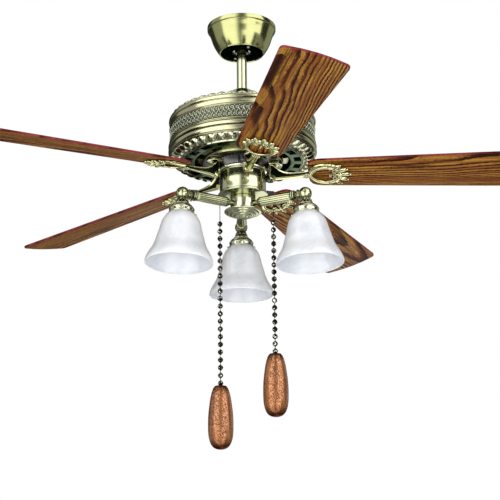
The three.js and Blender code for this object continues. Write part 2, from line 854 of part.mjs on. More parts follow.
// The leaf at the loop's outer end, with five scallops.
function ironLeaf() {
  const start = leafStart - bladePivotRadius;
  const half = leafHalfWidth;
  const leaf = new THREE.Shape();
  leaf.moveTo(start, -half * 0.55);
  leaf.quadraticCurveTo(start + leafLength * 0.12, -half * 1.15, start + leafLength * 0.4, -half * 0.9);
  leaf.quadraticCurveTo(start + leafLength * 0.72, -half * 0.95, start + leafLength * 0.7, -half * 0.42);
  leaf.quadraticCurveTo(start + leafLength, -half * 0.42, start + leafLength, 0);
  leaf.quadraticCurveTo(start + leafLength, half * 0.42, start + leafLength * 0.7, half * 0.42);
  leaf.quadraticCurveTo(start + leafLength * 0.72, half * 0.95, start + leafLength * 0.4, half * 0.9);
  leaf.quadraticCurveTo(start + leafLength * 0.12, half * 1.15, start, half * 0.55);
  leaf.closePath();
  return extrude(leaf, leafThickness, 2).translate(0, 0, -touch - leafThickness);
}

// The arm drops from its foot under the rotor and twists to the blade's pitch as it reaches the loop.
function ironArm() {
  const neck = loopCentre - loopHalfLength;
  const under = bladeUnderside - touch - ironThickness / 2;
  const footFace = flangeFace - touch;
  // along: share of the way out. top: share of the drop. deep and wide: in iron thicknesses and arm widths.
  const stations = [
    { along: 0.035, top: 0.065, deep: 0.86, wide: 0.69, twist: 0 },
    { along: 0.16, top: 0.13, deep: 1.29, wide: 0.94, twist: 0 },
    { along: 0.27, top: 0.55, deep: 1.43, wide: 1, twist: 0.08 },
    { along: 0.66, top: 0.84, deep: 1.14, wide: 0.94, twist: 0.46 },
    { along: 0.955, top: 0.9, deep: 0.64, wide: 1.12, twist: 1 },
    { along: 1.02, top: 0.91, deep: 0.46, wide: 1.5, twist: 1 },
  ];
  return loft(stations.map((station) => {
    const x = flangeInner + (neck - flangeInner) * station.along;
    const top = footFace + (under - footFace) * station.top;
    const bottom = under - ironThickness * station.deep;
    return oval(x, (top + bottom) / 2, ironArmWidth * station.wide, top - bottom, -bladePitch * station.twist);
  }));
}

function ironFoot() {
  const plate = new THREE.Shape();
  const half = footWidth / 2;
  const start = flangeInner + footInset;
  const roundCentre = flangeOuter - footInset - half;
  plate.moveTo(start, -half);
  plate.lineTo(roundCentre, -half);
  plate.absarc(roundCentre, 0, half, -Math.PI / 2, Math.PI / 2);
  plate.lineTo(start, half);
  plate.closePath();
  return extrude(plate, footThickness, 3).translate(0, 0, flangeFace - touch - footThickness);
}

function bladeIron() {
  const frame = bladeFrame();
  const loop = ironLoop().applyMatrix4(frame.matrix);
  const leaf = ironLeaf().applyMatrix4(frame.matrix);
  const scrollX = flangeInner + footInset + scrollRadius;
  const scrollZ = bladeUnderside - ironThickness;
  const scrollHalf = scrollWidth / 2;
  const scroll = bar(scrollRadius, point(scrollX, -scrollHalf, scrollZ), point(scrollX, scrollHalf, scrollZ), 7);
  return join(ironArm(), loop, leaf, ironFoot(), scroll);
}

const ironGeometry = bladeIron();
const bladeGeometry = extrude(bladeOutline(), bladeThickness, 4);

for (let i = 0; i < bladeCount; i += 1) {
  const arm = spoke(firstBladeAngle + (360 / bladeCount) * i);
  piece(`blade_iron_${i + 1}`, ironGeometry, antiqueBrass, arm);
  const frame = bladeFrame();
  arm.add(frame);
  piece(`blade_${i + 1}`, bladeGeometry, walnut, frame);
}

// ---------------------------------------------------------------- switch housing
function switchPlate() {
  const top = switchPlateTop;
  const bottom = top - switchPlateHeight;
  const bore = shaftRadius + touch;
  const neck = switchHousingRadius - switchPlateNeck;
  return revolve([
    [bore, bottom],
    [neck, bottom],
    [neck, bottom + switchPlateNeck],
    [switchPlateRadius, bottom + switchPlateNeck],
    [switchPlateRadius, top],
    [switchPlateRadius - switchPlateRecess, top],
    [bore, top - switchPlateRecess],
  ], 24);
}
piece('switch_housing_plate', switchPlate(), antiqueBrass);

const switchTop = switchPlateTop - switchPlateHeight - touch;
const switchBottom = switchTop - switchHousingHeight;
const sleeveMiddle = sleeveTop - sleeveRadius;

const chainAngle = (chain) => Math.atan2(chain.y, chain.x);
const chainReach = (chain) => Math.hypot(chain.x, chain.y);
const towards = (angle, radius, height) => point(radius * Math.cos(angle), radius * Math.sin(angle), height);
const reverseAngle = Math.PI / 2 + degrees(1.7);

function switchHousing() {
  const wall = switchHousingWall;
  const inner = switchHousingRadius - wall;
  const shell = revolve([
    [inner - switchHousingFlange, switchTop],
    [switchHousingRadius, switchTop],
    [switchHousingRadius, switchBottom],
    [inner, switchBottom],
    [inner, switchTop - wall],
    [inner - switchHousingFlange, switchTop - wall],
  ], 24);
  const noseHole = (chain) => bar(
    sleeveRadius + touch,
    towards(chainAngle(chain), inner - 2 * wall, sleeveMiddle),
    towards(chainAngle(chain), switchHousingRadius + 2 * wall, sleeveMiddle),
    12,
  );
  const slot = box(4 * wall, slotWidth, slotHeight, inner, 0, slotDepth).rotateZ(reverseAngle);
  return cut(shell, noseHole(fanChain), noseHole(lightChain), slot);
}
piece('switch_housing', switchHousing(), antiqueBrass);

// A pull switch: its body stands inside the wall, and its nose turns down outside to guide the chain.
function pullSwitch(chain) {
  const angle = chainAngle(chain);
  const reach = chainReach(chain);
  const bodyFace = Math.sqrt((switchHousingRadius - switchHousingWall) ** 2 - (switchBodyWidth / 2) ** 2) - switchBodyGap;
  const body = box(
    switchBodyDepth, switchBodyWidth, switchBodyHeight, bodyFace - switchBodyDepth / 2, 0, sleeveMiddle,
  ).rotateZ(angle);
  const nose = bar(
    sleeveRadius, towards(angle, bodyFace - switchBodyGap, sleeveMiddle), towards(angle, reach, sleeveMiddle), 8,
  );
  const elbow = tidy(new THREE.SphereGeometry(sleeveRadius * 1.03, 8, 6).rotateX(Math.PI / 2));
  elbow.translate(chain.x, chain.y, sleeveMiddle);
  const sleeveBottom = sleeveTop - sleeveRadius - sleeveLength;
  const sleeve = bar(
    sleeveRadius, point(chain.x, chain.y, sleeveMiddle), point(chain.x, chain.y, sleeveBottom), 8,
  );
  const bore = bar(
    chainWire + 2 * touch, point(chain.x, chain.y, sleeveMiddle + touch), point(chain.x, chain.y, sleeveBottom - touch), 6,
  );
  return cut(join(body, nose, elbow, sleeve), bore);
}
piece('fan_speed_switch', pullSwitch(fanChain), blackPlastic);
piece('light_switch', pullSwitch(lightChain), blackPlastic);

// The reversing switch's body and its slider, which moves sideways in the housing's slot.
const sliderWidth = slotWidth - sliderTravel - 2 * touch;
const sliderStart = -sliderTravel / 2;
const reverseWallReach = Math.sqrt((switchHousingRadius - switchHousingWall) ** 2 - (reverseBodyWidth / 2) ** 2);
const reverseBodyFace = reverseWallReach - reverseBodyGap;
piece('reverse_switch', box(
  reverseBodyDepth, reverseBodyWidth, reverseBodyHeight, reverseBodyFace - reverseBodyDepth / 2, 0, slotDepth,
).rotateZ(reverseAngle), blackPlastic);
const sliderInner = reverseBodyFace + touch;
const sliderOuter = switchHousingRadius + sliderProud;
piece('reverse_slider', box(
  sliderOuter - sliderInner, sliderWidth, slotHeight - 2 * touch,
  (sliderOuter + sliderInner) / 2, sliderStart, slotDepth,
).rotateZ(reverseAngle), blackPlastic);

const capacitorAngle = degrees(-80);
const capacitorMiddle = switchTop - switchHousingWall - touch - capacitorHeight / 2;
piece('capacitor', box(
  capacitorDepth, capacitorWidth, capacitorHeight, capacitorReach, 0, capacitorMiddle,
).rotateZ(capacitorAngle), blackPlastic);

// ---------------------------------------------------------------- light kit body
piece('light_fitter_plate', revolve([
  [fitterPlateBore, flareTop],
  [fitterPlateRadius, flareTop],
  [fitterPlateRadius, flareTop - fitterPlateRim],
  [fitterPlateRadius - fitterPlateSlope, flareTop - fitterPlateSlopeDrop],
  [fitterRadius, flareTop - fitterPlateHeight],
  [fitterPlateBore, flareTop - fitterPlateHeight],
], 24), antiqueBrass);

function lightFitter() {
  const bottom = fitterTop - fitterHeight;
  return revolve([
    [fitterRadius - fitterWall, fitterTop],
    [fitterRadius, fitterTop],
    [fitterRadius, bottom],
    [fitterRadius - fitterWall, bottom],
  ], 20);
}
piece('light_fitter', lightFitter(), antiqueBrass);

// The bottom cap goes down in rings, like a stack of shallow plates.
function bottomCap() {
  const steps = [
    [1, 0.28],
    [0.825, 0.45],
    [0.65, 0.62],
    [0.45, 0.76],
  ];
  const profile = [[0, capTop], [capRadius - capStepWidth, capTop]];
  steps.forEach(([wide, deep], i) => {
    const previous = i === 0 ? 0.07 : steps[i - 1][1];
    profile.push([capRadius * wide, capTop - capHeight * previous]);
    profile.push([capRadius * wide - capStepWidth, capTop - capHeight * deep]);
  });
  profile.push([capRadius * 0.2, capTop - capHeight * 0.8], [0, capTop - capHeight]);
  return revolve(profile, 20);
}
piece('bottom_cap', bottomCap(), antiqueBrass);

// ---------------------------------------------------------------- lamps
// A reeded tube between turned collars. It lies along X at first.
function lightArm() {
  const start = fitterRadius + touch;
  const ballSide = armReach - Math.sqrt(elbowBallRadius ** 2 - armNeckRadius ** 2) - touch;
  const corners = 2 * armReeds;
  const round = (x, radius) => Array.from({ length: armReeds }, (_, i) => {
    const turn = (2 * Math.PI * i) / armReeds;
    return point(x, radius * Math.cos(turn), armHeight + radius * Math.sin(turn));
  });
  const reeded = (x) => Array.from({ length: corners }, (_, i) => {
    const turn = (2 * Math.PI * i) / corners;
    const radius = i % 2 === 0 ? armRadius : armRadius - reedDepth;
    return point(x, radius * Math.cos(turn), armHeight + radius * Math.sin(turn));
  });
  const tubeEnd = ballSide - collarLength;
  const collar = (share, radius) => round(tubeEnd + collarLength * share, radius);
  return loft([
    round(start, armNeckRadius),
    round(start + armNeckLength, armNeckRadius),
    reeded(start + armNeckLength + reedDepth),
    reeded(tubeEnd),
    collar(0.04, armRadius - 2 * reedDepth),
    collar(0.15, collarRadius),
    collar(0.31, collarRadius),
    collar(0.42, armRadius - reedDepth),
    collar(0.62, armRadius),
    round(ballSide, armNeckRadius),
    round(armReach - elbowBallRadius - 2 * touch, reedDepth),
  ]);
}

// The elbow: a ball with a fluted leaf cup below it. Its axis is Z.
function lampElbow() {
  const ball = tidy(new THREE.SphereGeometry(elbowBallRadius, 12, 7).rotateX(Math.PI / 2));
  ball.translate(0, 0, armHeight);
  const flutes = 8;
  const fluted = (radius, height) => ring(2 * flutes, (turn) => [
    radius * (1 + 0.07 * Math.cos(turn * flutes)), height,
  ]);
  const cupHeight = (share) => armHeight + (elbowCupBottom - armHeight) * share;
  const cup = loft([
    plainRing(flutes, elbowCupRadius * 0.42, cupHeight(0.38)),
    plainRing(flutes, elbowCupRadius * 0.52, cupHeight(0.55)),
    fluted(elbowCupRadius * 0.61, cupHeight(0.66)),
    fluted(elbowCupRadius, cupHeight(0.9)),
    plainRing(flutes, elbowCupRadius * 0.87, elbowCupBottom),
  ]);
  return join(ball, cup);
}

const shadeTop = galleryCeiling - touch;

function shadeGallery() {
  const skirtTop = galleryTop - galleryDome;
  const bottom = skirtTop - gallerySkirt;
  const inner = galleryRadius - galleryWall;
  return revolve([
    [0, galleryTop],
    [elbowCupRadius, galleryTop],
    [elbowCupRadius + 2 * galleryWall, galleryTop - 2 * galleryWall],
    [galleryRadius - 2 * galleryWall, skirtTop + 2 * galleryWall],
    [galleryRadius, skirtTop],
    [galleryRadius, bottom],
    [inner, bottom],
    [inner, galleryCeiling],
    [0, galleryCeiling],
  ], 16);
}

// Bell-shaped glass: a straight neck, a round shoulder and a flared lip.
function glassShade() {
  const bottom = shadeTop - shadeHeight;
  const waist = bottom + shadeFlare;
  const body = (share, rise) => [
    shadeNeckRadius + (shadeWaistRadius - shadeNeckRadius) * share, waist + (shadeTop - waist) * rise,
  ];
  const flare = (share, drop) => [
    shadeWaistRadius + (shadeRimRadius - shadeWaistRadius) * share, waist - shadeFlare * drop,
  ];
  const outside = [
    body(0, 1),
    body(0, 0.865),
    body(0.23, 0.83),
    body(0.42, 0.72),
    body(0.61, 0.5),
    body(0.84, 0.2),
    flare(0, 0),
    flare(0.55, 0.45),
    flare(0.95, 0.8),
    flare(1, 0.92),
  ];
  const inside = outside.slice(1, -1).map(([radius, height]) => [radius - shadeWall, height - shadeWall / 2]);
  return revolve([
    ...outside,
    [shadeRimRadius - shadeLip, bottom],
    [shadeRimRadius - shadeLip - shadeWall, bottom],
    ...inside.reverse(),
    [shadeNeckRadius - shadeWall, shadeTop],
  ], 18);
}

const socketTop = galleryCeiling - touch;
function lampSocket() {
  const bottom = socketTop - socketHeight;
  return revolve([
    [0, socketTop],
    [bulbStemRadius, socketTop],
    [socketRadius, socketTop - socketRadius + bulbStemRadius],
    [socketRadius, bottom],
    [bulbStemRadius + 2 * touch, bottom],
    [bulbStemRadius + 2 * touch, bottom + socketDepth],
    [0, bottom + socketDepth],
  ], 10);
}

function lampBulb() {
  const socketBottom = socketTop - socketHeight;
  const top = socketBottom + socketDepth - touch;
  const tip = socketBottom - bulbLength;
  const middle = tip + bulbRadius;
  const profile = [
    [0, top],
    [bulbStemRadius, top],
    [bulbStemRadius, socketBottom],
    [bulbRadius * 0.85, middle + bulbRadius * 0.55],
    [bulbRadius, middle],
  ];
  [30, 60].forEach((angle) => {
    profile.push([bulbRadius * Math.cos(degrees(angle)), middle - bulbRadius * Math.sin(degrees(angle))]);
  });
  profile.push([0, tip]);
  return revolve(profile, 10);
}

const armGeometry = lightArm();
const elbowGeometry = lampElbow();
const galleryGeometry = shadeGallery();
const shadeGeometry = glassShade();
const socketGeometry = lampSocket();
const bulbGeometry = lampBulb();

for (let i = 0; i < lampCount; i += 1) {
  const arm = spoke(firstLampAngle + (360 / lampCount) * i);
  piece(`light_arm_${i + 1}`, armGeometry, antiqueBrass, arm);
  const splayed = new THREE.Group();
  splayed.position.set(armReach, 0, armHeight);
  splayed.rotation.y = -degrees(lampSplay);
  arm.add(splayed);
  const lamp = new THREE.Group();
  lamp.position.z = -armHeight;
  splayed.add(lamp);
  piece(`lamp_elbow_${i + 1}`, elbowGeometry, antiqueBrass, lamp);
  piece(`shade_gallery_${i + 1}`, galleryGeometry, antiqueBrass, lamp);
  piece(`lamp_socket_${i + 1}`, socketGeometry, blackPlastic, lamp);
  piece(`lamp_bulb_${i + 1}`, bulbGeometry, bulbGlass, lamp);
  piece(`glass_shade_${i + 1}`, shadeGeometry, alabasterGlass, lamp);
}

// ---------------------------------------------------------------- pull chains
// Beads on a wire, turned as one profile. Each bead is widest at its middle.
function pullChain(chain) {
  const top = sleeveMiddle;
  const profile = [[0, top], [chainWire, top]];
  for (let i = 0; i < chain.beads; i += 1) {
    const height = chain.firstBead - chain.beadPitch * i;
    profile.push([chainWire, height + chainBeadRadius * 0.9]);
    profile.push([chainBeadRadius, height]);
    profile.push([chainWire, height - chainBeadRadius * 0.9]);
  }
  const bottom = chainBottom(chain);
  profile.push([chainWire, bottom], [0, bottom]);
  return revolve(profile, 4).translate(chain.x, chain.y, 0);
}

const chainBottom = (chain) => (
  chain.firstBead - chain.beadPitch * (chain.beads - 1) - chainBeadRadius - chainTail - pullSocket + touch
);

// A turned wooden drop: a small flat head that widens to a long body with a rounded foot.
function chainDrop(chain) {
  const top = chainBottom(chain) + pullSocket - touch;
  const bore = chainWire + touch;
  const body = [
    [0.49, 0],
    [0.62, 0.045],
    [0.84, 0.24],
    [0.98, 0.42],
    [1, 0.68],
    [0.9, 0.845],
    [0.67, 0.94],
    [0.35, 1],
  ];
  const profile = [[0, top - pullSocket], [bore, top - pullSocket], [bore, top]];
  body.forEach(([wide, down]) => profile.push([pullRadius * wide, top - pullLength * down]));
  profile.push([0, top - pullLength]);
  return revolve(profile, 12).translate(chain.x, chain.y, 0);
}

piece('fan_pull_chain', pullChain(fanChain), antiqueBrass);
piece('fan_pull_drop', chainDrop(fanChain), turnedWood);
piece('light_pull_chain', pullChain(lightChain), antiqueBrass);
piece('light_pull_drop', chainDrop(lightChain), turnedWood);

export default fan;
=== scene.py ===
"""A ceiling fan with five blades and a three-lamp light kit: its pieces, finishes, lamps and camera."""
from math import asin, atan2, cos, degrees, hypot, pi, radians, sin

import bpy
from mathutils import Matrix, Vector


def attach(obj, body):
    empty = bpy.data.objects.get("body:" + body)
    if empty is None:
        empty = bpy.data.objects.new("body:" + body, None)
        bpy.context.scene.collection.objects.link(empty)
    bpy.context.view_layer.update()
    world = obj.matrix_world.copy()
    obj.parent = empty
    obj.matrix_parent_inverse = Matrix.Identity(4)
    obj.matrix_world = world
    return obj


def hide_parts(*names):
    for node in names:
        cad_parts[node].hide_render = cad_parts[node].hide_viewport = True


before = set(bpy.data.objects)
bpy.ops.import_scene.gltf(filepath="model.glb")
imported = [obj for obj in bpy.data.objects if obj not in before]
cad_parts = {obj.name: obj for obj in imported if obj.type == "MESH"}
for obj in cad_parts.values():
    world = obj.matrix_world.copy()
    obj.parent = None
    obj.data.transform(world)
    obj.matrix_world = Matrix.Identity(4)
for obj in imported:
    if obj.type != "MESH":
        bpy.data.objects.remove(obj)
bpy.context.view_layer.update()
MM = 0.001
FULL = 2 * pi


def placed(name, data):
    """A new object in the scene."""
    thing = bpy.data.objects.new(name, data)
    bpy.context.scene.collection.objects.link(thing)
    return thing


# ---------------------------------------------------------------- camera
CAMERA_PLACE = Vector((0, -3.1912, -1.5497))
CAMERA_TURNS = (0.25, 17.93, -0.58)  # degrees: to the right, upwards and rolled
SENSOR = 36
LENS = 114.228


def place_camera():
    """The camera stands in front of the fan and below it, and looks up."""
    yaw, pitch, roll = (radians(turn) for turn in CAMERA_TURNS)
    forward = Vector((sin(yaw) * cos(pitch), cos(yaw) * cos(pitch), sin(pitch)))
    right = forward.cross(Vector((0, 0, 1))).normalized()
    up = right.cross(forward)
    level = cos(roll) * right + sin(roll) * up
    top = -sin(roll) * right + cos(roll) * up
    data = bpy.data.cameras.new("camera")
    data.sensor_width = SENSOR
    data.lens = LENS
    data.clip_end = 100
    camera = placed("camera", data)
    rows = [(level[i], top[i], -forward[i], CAMERA_PLACE[i]) for i in range(3)]
    camera.matrix_world = Matrix(rows + [(0, 0, 0, 1)])
    bpy.context.scene.camera = camera


place_camera()


# ---------------------------------------------------------------- finishes
class Socket:
    """A node's output that takes part in arithmetic."""

    def __init__(self, paint, output):
        self.paint = paint
        self.output = output

    def maths(self, operation, *values):
        return self.paint.node("ShaderNodeMath", {"operation": operation}, dict(enumerate(values)))

    def __add__(self, other):
        return self.maths("ADD", self, other)

    def __radd__(self, other):
        return self.maths("ADD", other, self)

    def __sub__(self, other):
        return self.maths("SUBTRACT", self, other)

    def __rsub__(self, other):
        return self.maths("SUBTRACT", other, self)

    def __mul__(self, other):
        return self.maths("MULTIPLY", self, other)

    def __rmul__(self, other):
        return self.maths("MULTIPLY", other, self)

    def __truediv__(self, other):
        return self.maths("DIVIDE", self, other)

    def __pow__(self, other):
        return self.maths("POWER", self, other)

    def between(self, low, high):
        """0 below low, 1 above high, and a smooth rise between them."""
        settings = {"interpolation_type": "SMOOTHSTEP"}
        return self.paint.node("ShaderNodeMapRange", settings, {0: self, 1: low, 2: high, 3: 0.0, 4: 1.0})

    def held(self):
        """Held between 0 and 1."""
        return self.maths("MAXIMUM", self.maths("MINIMUM", self, 1.0), 0.0)


class Paint:
    """The nodes of one finish, or of the world."""

    def __init__(self, name, world=None):
        self.owner = world or bpy.data.materials.new(name)
        self.owner.use_nodes = True
        self.tree = self.owner.node_tree
        self.tree.nodes.clear()

    def node(self, kind, settings=None, inputs=None, output=0):
        made = self.tree.nodes.new(kind)
        for key, value in (settings or {}).items():
            if key == "stops":
                ramp = made.color_ramp.elements
                while len(ramp) < len(value):
                    ramp.new(1)
                for element, (position, colour) in zip(ramp, value):
                    element.position = position
                    element.color = (*colour, 1)
            else:
                setattr(made, key, value)
        for key, value in (inputs or {}).items():
            if isinstance(value, Socket):
                self.tree.links.new(value.output, made.inputs[key])
            elif isinstance(value, tuple) and made.inputs[key].type == "RGBA":
                made.inputs[key].default_value = (*value[:3], 1)
            else:
                made.inputs[key].default_value = value
        return Socket(self, made.outputs[output]) if made.outputs else None

    def place(self):
        return self.node("ShaderNodeTexCoord", output="Object")

    def stretch(self, vector, scale):
        return self.node("ShaderNodeMapping", {}, {"Vector": vector, "Scale": scale})

    def split(self, vector):
        parts = self.node("ShaderNodeSeparateXYZ", {}, {0: vector})
        outputs = parts.output.node.outputs
        return [Socket(self, outputs[i]) for i in range(3)]

    def join(self, x, y, z):
        return self.node("ShaderNodeCombineXYZ", {}, {0: x, 1: y, 2: z})

    def noise(self, vector, scale=1.0, detail=3.0, rough=0.5, warp=0.0):
        inputs = {"Vector": vector, "Scale": scale, "Detail": detail, "Roughness": rough, "Distortion": warp}
        return self.node("ShaderNodeTexNoise", {}, inputs)

    def ramp(self, value, *stops):
        return self.node("ShaderNodeValToRGB", {"stops": stops}, {0: value})

    def mix(self, share, first, second):
        return self.node("ShaderNodeMix", {"data_type": "RGBA"}, {0: share, 6: first, 7: second}, output=2)

    def hollows(self, distance):
        """1 on open surfaces, less in grooves and corners."""
        settings = {"samples": 4, "only_local": True}
        return self.node("ShaderNodeAmbientOcclusion", settings, {"Distance": distance}, output="AO")

    def bump(self, height, strength, distance):
        return self.node("ShaderNodeBump", {}, {"Height": height, "Strength": strength, "Distance": distance})

    def seen_by(self, *rays):
        """1 for the named kinds of ray and 0 for the others."""
        seen = self.node("ShaderNodeLightPath", output=rays[0])
        for ray in rays[1:]:
            seen = seen.maths("MAXIMUM", seen, self.node("ShaderNodeLightPath", output=ray))
        return seen

    def finish(self, **inputs):
        named_inputs = {key.replace("_", " "): value for key, value in inputs.items()}
        shader = self.node("ShaderNodeBsdfPrincipled", {}, named_inputs)
        self.node("ShaderNodeOutputMaterial", {}, {"Surface": shader})
        return self.owner


def scaled(colour, *shares):
    """A colour with each channel multiplied by its share."""
    return tuple(channel * share for channel, share in zip(colour, shares))


PANEL_EDGE = 0.0005


def brass_finish(
    name, light=(0.385, 0.37, 0.225), dark=(0.014, 0.016, 0.009), polish=0.13, brushed=700.0, depth=0.005,
    panel=None,
):
    """Lacquered antique brass: brushed along its rings, with dark patina on any panel, which is a range of heights.
    Its hollows are darker too, partly as patina and partly as painted shade."""
    paint = Paint(name)
    place = paint.place()
    lines = paint.noise(paint.stretch(place, (9, 9, brushed)), 1.0, 2.0, 0.6)
    cloud = paint.noise(place, 22.0, 4.0, 0.55)
    specks = paint.noise(place, 900.0, 1.0, 0.5)
    # darker in grooves and corners: partly patina, partly painted shade
    open_face = paint.hollows(depth).between(0.35, 0.95)
    if panel:
        low, high = panel
        height = paint.split(place)[2]
        above, over = height.between(low, low + PANEL_EDGE), height.between(high - PANEL_EDGE, high)
        open_face = open_face * (1 - 0.9 * above * (1 - over))
    # share of the lighter colour: low in the hollows, as patina and painted shade, and varied by cloud and brushing
    brighter = (open_face * (0.86 + 0.22 * cloud) * (0.9 + 0.2 * lines)).held()
    green = paint.mix(cloud.between(0.35, 0.75) * 0.5, light, scaled(light, 0.72, 0.8, 0.76))
    return paint.finish(
        Base_Color=paint.mix(brighter, dark, green),
        Metallic=1.0,
        Specular_Tint=(0.62, 0.64, 0.5),
        Roughness=polish + 0.08 * lines + 0.03 * specks + 0.25 * (1 - open_face),
        Coat_Weight=0.35 * open_face,
        Coat_Roughness=0.08,
        Normal=paint.bump(lines + 0.4 * specks, 0.1, 0.0002),
    )


def dark_bronze_finish(name="dark_bronze", light=(0.03, 0.044, 0.027), edge=(0.75, 0.84, 0.7)):
    """Blackened bronze with a green cast. edge is its tint where it is seen at a slant."""
    paint = Paint(name)
    place = paint.place()
    cloud = paint.noise(place, 30.0, 4.0, 0.6)
    grit = paint.noise(place, 700.0, 2.0, 0.6)
    # darker in grooves and corners: partly patina, partly painted shade
    open_face = paint.hollows(0.004).between(0.4, 1.0)
    return paint.finish(
        Base_Color=paint.mix((open_face * (0.65 + 0.5 * cloud)).held(), (0.005, 0.006, 0.005), light),
        Metallic=1.0,
        Specular_Tint=edge,
        Roughness=0.22 + 0.12 * grit,
        Normal=paint.bump(grit, 0.1, 0.0002),
    )


def rotor_finish():
    """The motor's turning case: green brass on the wall of its lower flange, nearly black under it, and blackened
    further out. Its hollows are darker, partly as patina and partly as painted shade."""
    paint = Paint("rotor_bronze")
    place = paint.place()
    x, y, _ = paint.split(place)
    reach = (x * x + y * y) ** 0.5
    lines = paint.noise(paint.join(reach * 900.0, 0.0, 0.0), 1.0, 2.0, 0.6)
    cloud = paint.noise(place, 26.0, 4.0, 0.6)
    # darker in grooves and corners: partly patina, partly painted shade
    open_face = paint.hollows(0.006).between(0.3, 1.0)
    metal = paint.mix(reach.between(0.09, 0.1), (0.26, 0.26, 0.12), (0.03, 0.04, 0.025))
    off_underside = reach.between(0.0855, 0.0865)
    bright = (open_face * (0.75 + 0.4 * cloud) * (0.04 + 0.96 * off_underside)).held()
    return paint.finish(
        Base_Color=paint.mix(bright, (0.01, 0.013, 0.008), metal),
        Metallic=1.0,
        Roughness=0.17 + 0.1 * lines,
        Normal=paint.bump(lines, 0.08, 0.0002),
    )


def board_finish(name, tones, gloss=0.5):
    """Flat-sawn wood veneer: arches along one side of the board that run into straight, close lines at the other.
    tones are gold, amber, brown and the dark of the late wood. The grain follows the blade through its own UV map,
    in metres."""
    paint = Paint(name)
    length, width, _ = paint.split(paint.node("ShaderNodeTexCoord", output="UV"))

    def streaks(lengthways, crossways, layer, detail, rough):
        """Noise that is drawn out along the board. Each layer has its own pattern."""
        return paint.noise(paint.join(length * lengthways, width * crossways, layer), 1.0, detail, rough)

    wander = streaks(4.0, 9.0, 0.0, 2.0, 0.5) - 0.5
    ripple = streaks(22.0, 60.0, 3.0, 3.0, 0.6) - 0.5
    ragged = streaks(130.0, 260.0, 6.0, 2.0, 0.6) - 0.5
    fine = streaks(8.0, 520.0, 5.0, 3.0, 0.6)
    broad = streaks(5.0, 95.0, 11.0, 2.0, 0.5)
    pores = streaks(90.0, 1700.0, 0.0, 2.0, 0.6)
    cloud = streaks(7.0, 30.0, 8.0, 3.0, 0.55)
    strength = streaks(3.0, 60.0, 17.0, 2.0, 0.5).between(0.3, 0.5)
    middle = width + 0.03 + 0.012 * wander
    arches = (
        middle * middle * 860.0 + (width + 0.075) * 42.0 + length * 6.0
        + wander * 2.4 + ripple * 0.4 + ragged * 0.3
    )
    saw = arches.maths("FRACT", arches)
    gold, amber, brown, dark = tones
    pale = paint.mix(broad.between(0.4, 0.6), gold, amber)
    last = scaled(dark, 0.4, 0.4, 0.5)
    late = paint.ramp(saw, (0.0, amber), (0.4, amber), (0.64, brown), (0.8, dark), (1.0, last))
    line = (saw + (fine - 0.5) * 0.5 + ragged * 0.3).between(0.38, 0.62)
    lined = paint.mix((line * (0.5 + 0.5 * strength)).held(), pale, late)
    grained = paint.mix((fine.between(0.46, 0.66) * 0.6).held(), lined, brown)
    smudge = (cloud + (fine - 0.5) * 0.8 + ragged * 0.5).between(0.52, 0.66) * (1 - width.between(-0.01, 0.02))
    stained = (smudge * 0.6 + pores.between(0.52, 0.66) * 0.45).held()
    return paint.finish(
        Base_Color=paint.mix(stained, grained, scaled(dark, 1.6, 1.5, 1.5)),
        Roughness=gloss + 0.12 * line,
        Specular_IOR_Level=0.06,
        Specular_Tint=(1.0, 0.6, 0.3),
        Normal=paint.bump(line * -0.6 + pores * -0.6, 0.15, 0.0003),
    )


def turned_wood_finish(top, bottom):
    """Stained and varnished turned wood, darker at both ends, with fine pores along the piece and pale flecks, a
    painted speckled sheen that the flecks' metal and coat also catch as real reflections.
    """
    paint = Paint("turned_wood")
    x, y, z = paint.split(paint.place())
    rings = paint.noise(paint.join(x * 60.0, y * 60.0, z * 9.0), 1.0, 3.0, 0.6, 0.6)
    pores = paint.noise(paint.join(x * 420.0, y * 420.0, z * 300.0), 1.0, 3.0, 0.75)
    # pale flecks: partly a painted sheen; their metal and coat also catch real reflections
    speck = 1 - pores.between(0.44, 0.54)
    streaks = paint.noise(paint.join(x * 200.0, y * 200.0, z * 14.0), 1.0, 2.0, 0.5)
    ground = paint.ramp(
        rings, (0.25, (0.14, 0.034, 0.006)), (0.5, (0.27, 0.085, 0.013)), (0.8, (0.34, 0.12, 0.028)),
    )
    darker = paint.mix((streaks.between(0.45, 0.75) * 0.6).held(), ground, (0.07, 0.014, 0.005))
    flecked = paint.mix(speck * 0.38, darker, (0.52, 0.29, 0.18))
    ends = (z.between(top - 0.022, top + 0.004) + (1 - z.between(bottom - 0.002, bottom + 0.026))).held()
    return paint.finish(
        Base_Color=paint.mix(ends * 0.97, flecked, (0.026, 0.006, 0.002)),
        Metallic=(0.1 + 0.45 * speck) * (1 - ends) + 0.9 * ends,
        Roughness=0.19 + 0.1 * pores,
        IOR=1.4,
        Specular_Tint=(0.5, 0.26, 0.18),
        Coat_Weight=0.85 * speck * (1 - ends),
        Coat_Roughness=0.14,
        Normal=paint.bump(pores, 0.5, 0.0004),
    )


def alabaster_finish():
    """White glass with faint clouded veins."""
    paint = Paint("alabaster_glass")
    place = paint.place()
    broad = paint.noise(place, 9.0, 4.0, 0.55, 1.4)
    fine = paint.noise(place, 26.0, 5.0, 0.6, 2.2)
    veins = (1 - (fine - 0.5).maths("ABSOLUTE", fine - 0.5) * 9.0).held() * broad.between(0.35, 0.7)
    clouded = (broad.between(0.35, 0.75) * 0.5 + veins * 0.7).held()
    return paint.finish(
        Base_Color=paint.mix(clouded, (0.905, 0.935, 0.985), (0.74, 0.785, 0.86)),
        Roughness=0.3 + 0.1 * broad,
        Coat_Weight=0.3 + 0.2 * fine,
        Coat_Roughness=0.12,
        Subsurface_Weight=0.25,
        Subsurface_Radius=(0.012, 0.012, 0.014),
        Subsurface_Scale=0.5,
        Normal=paint.bump(fine, 0.05, 0.0004),
    )


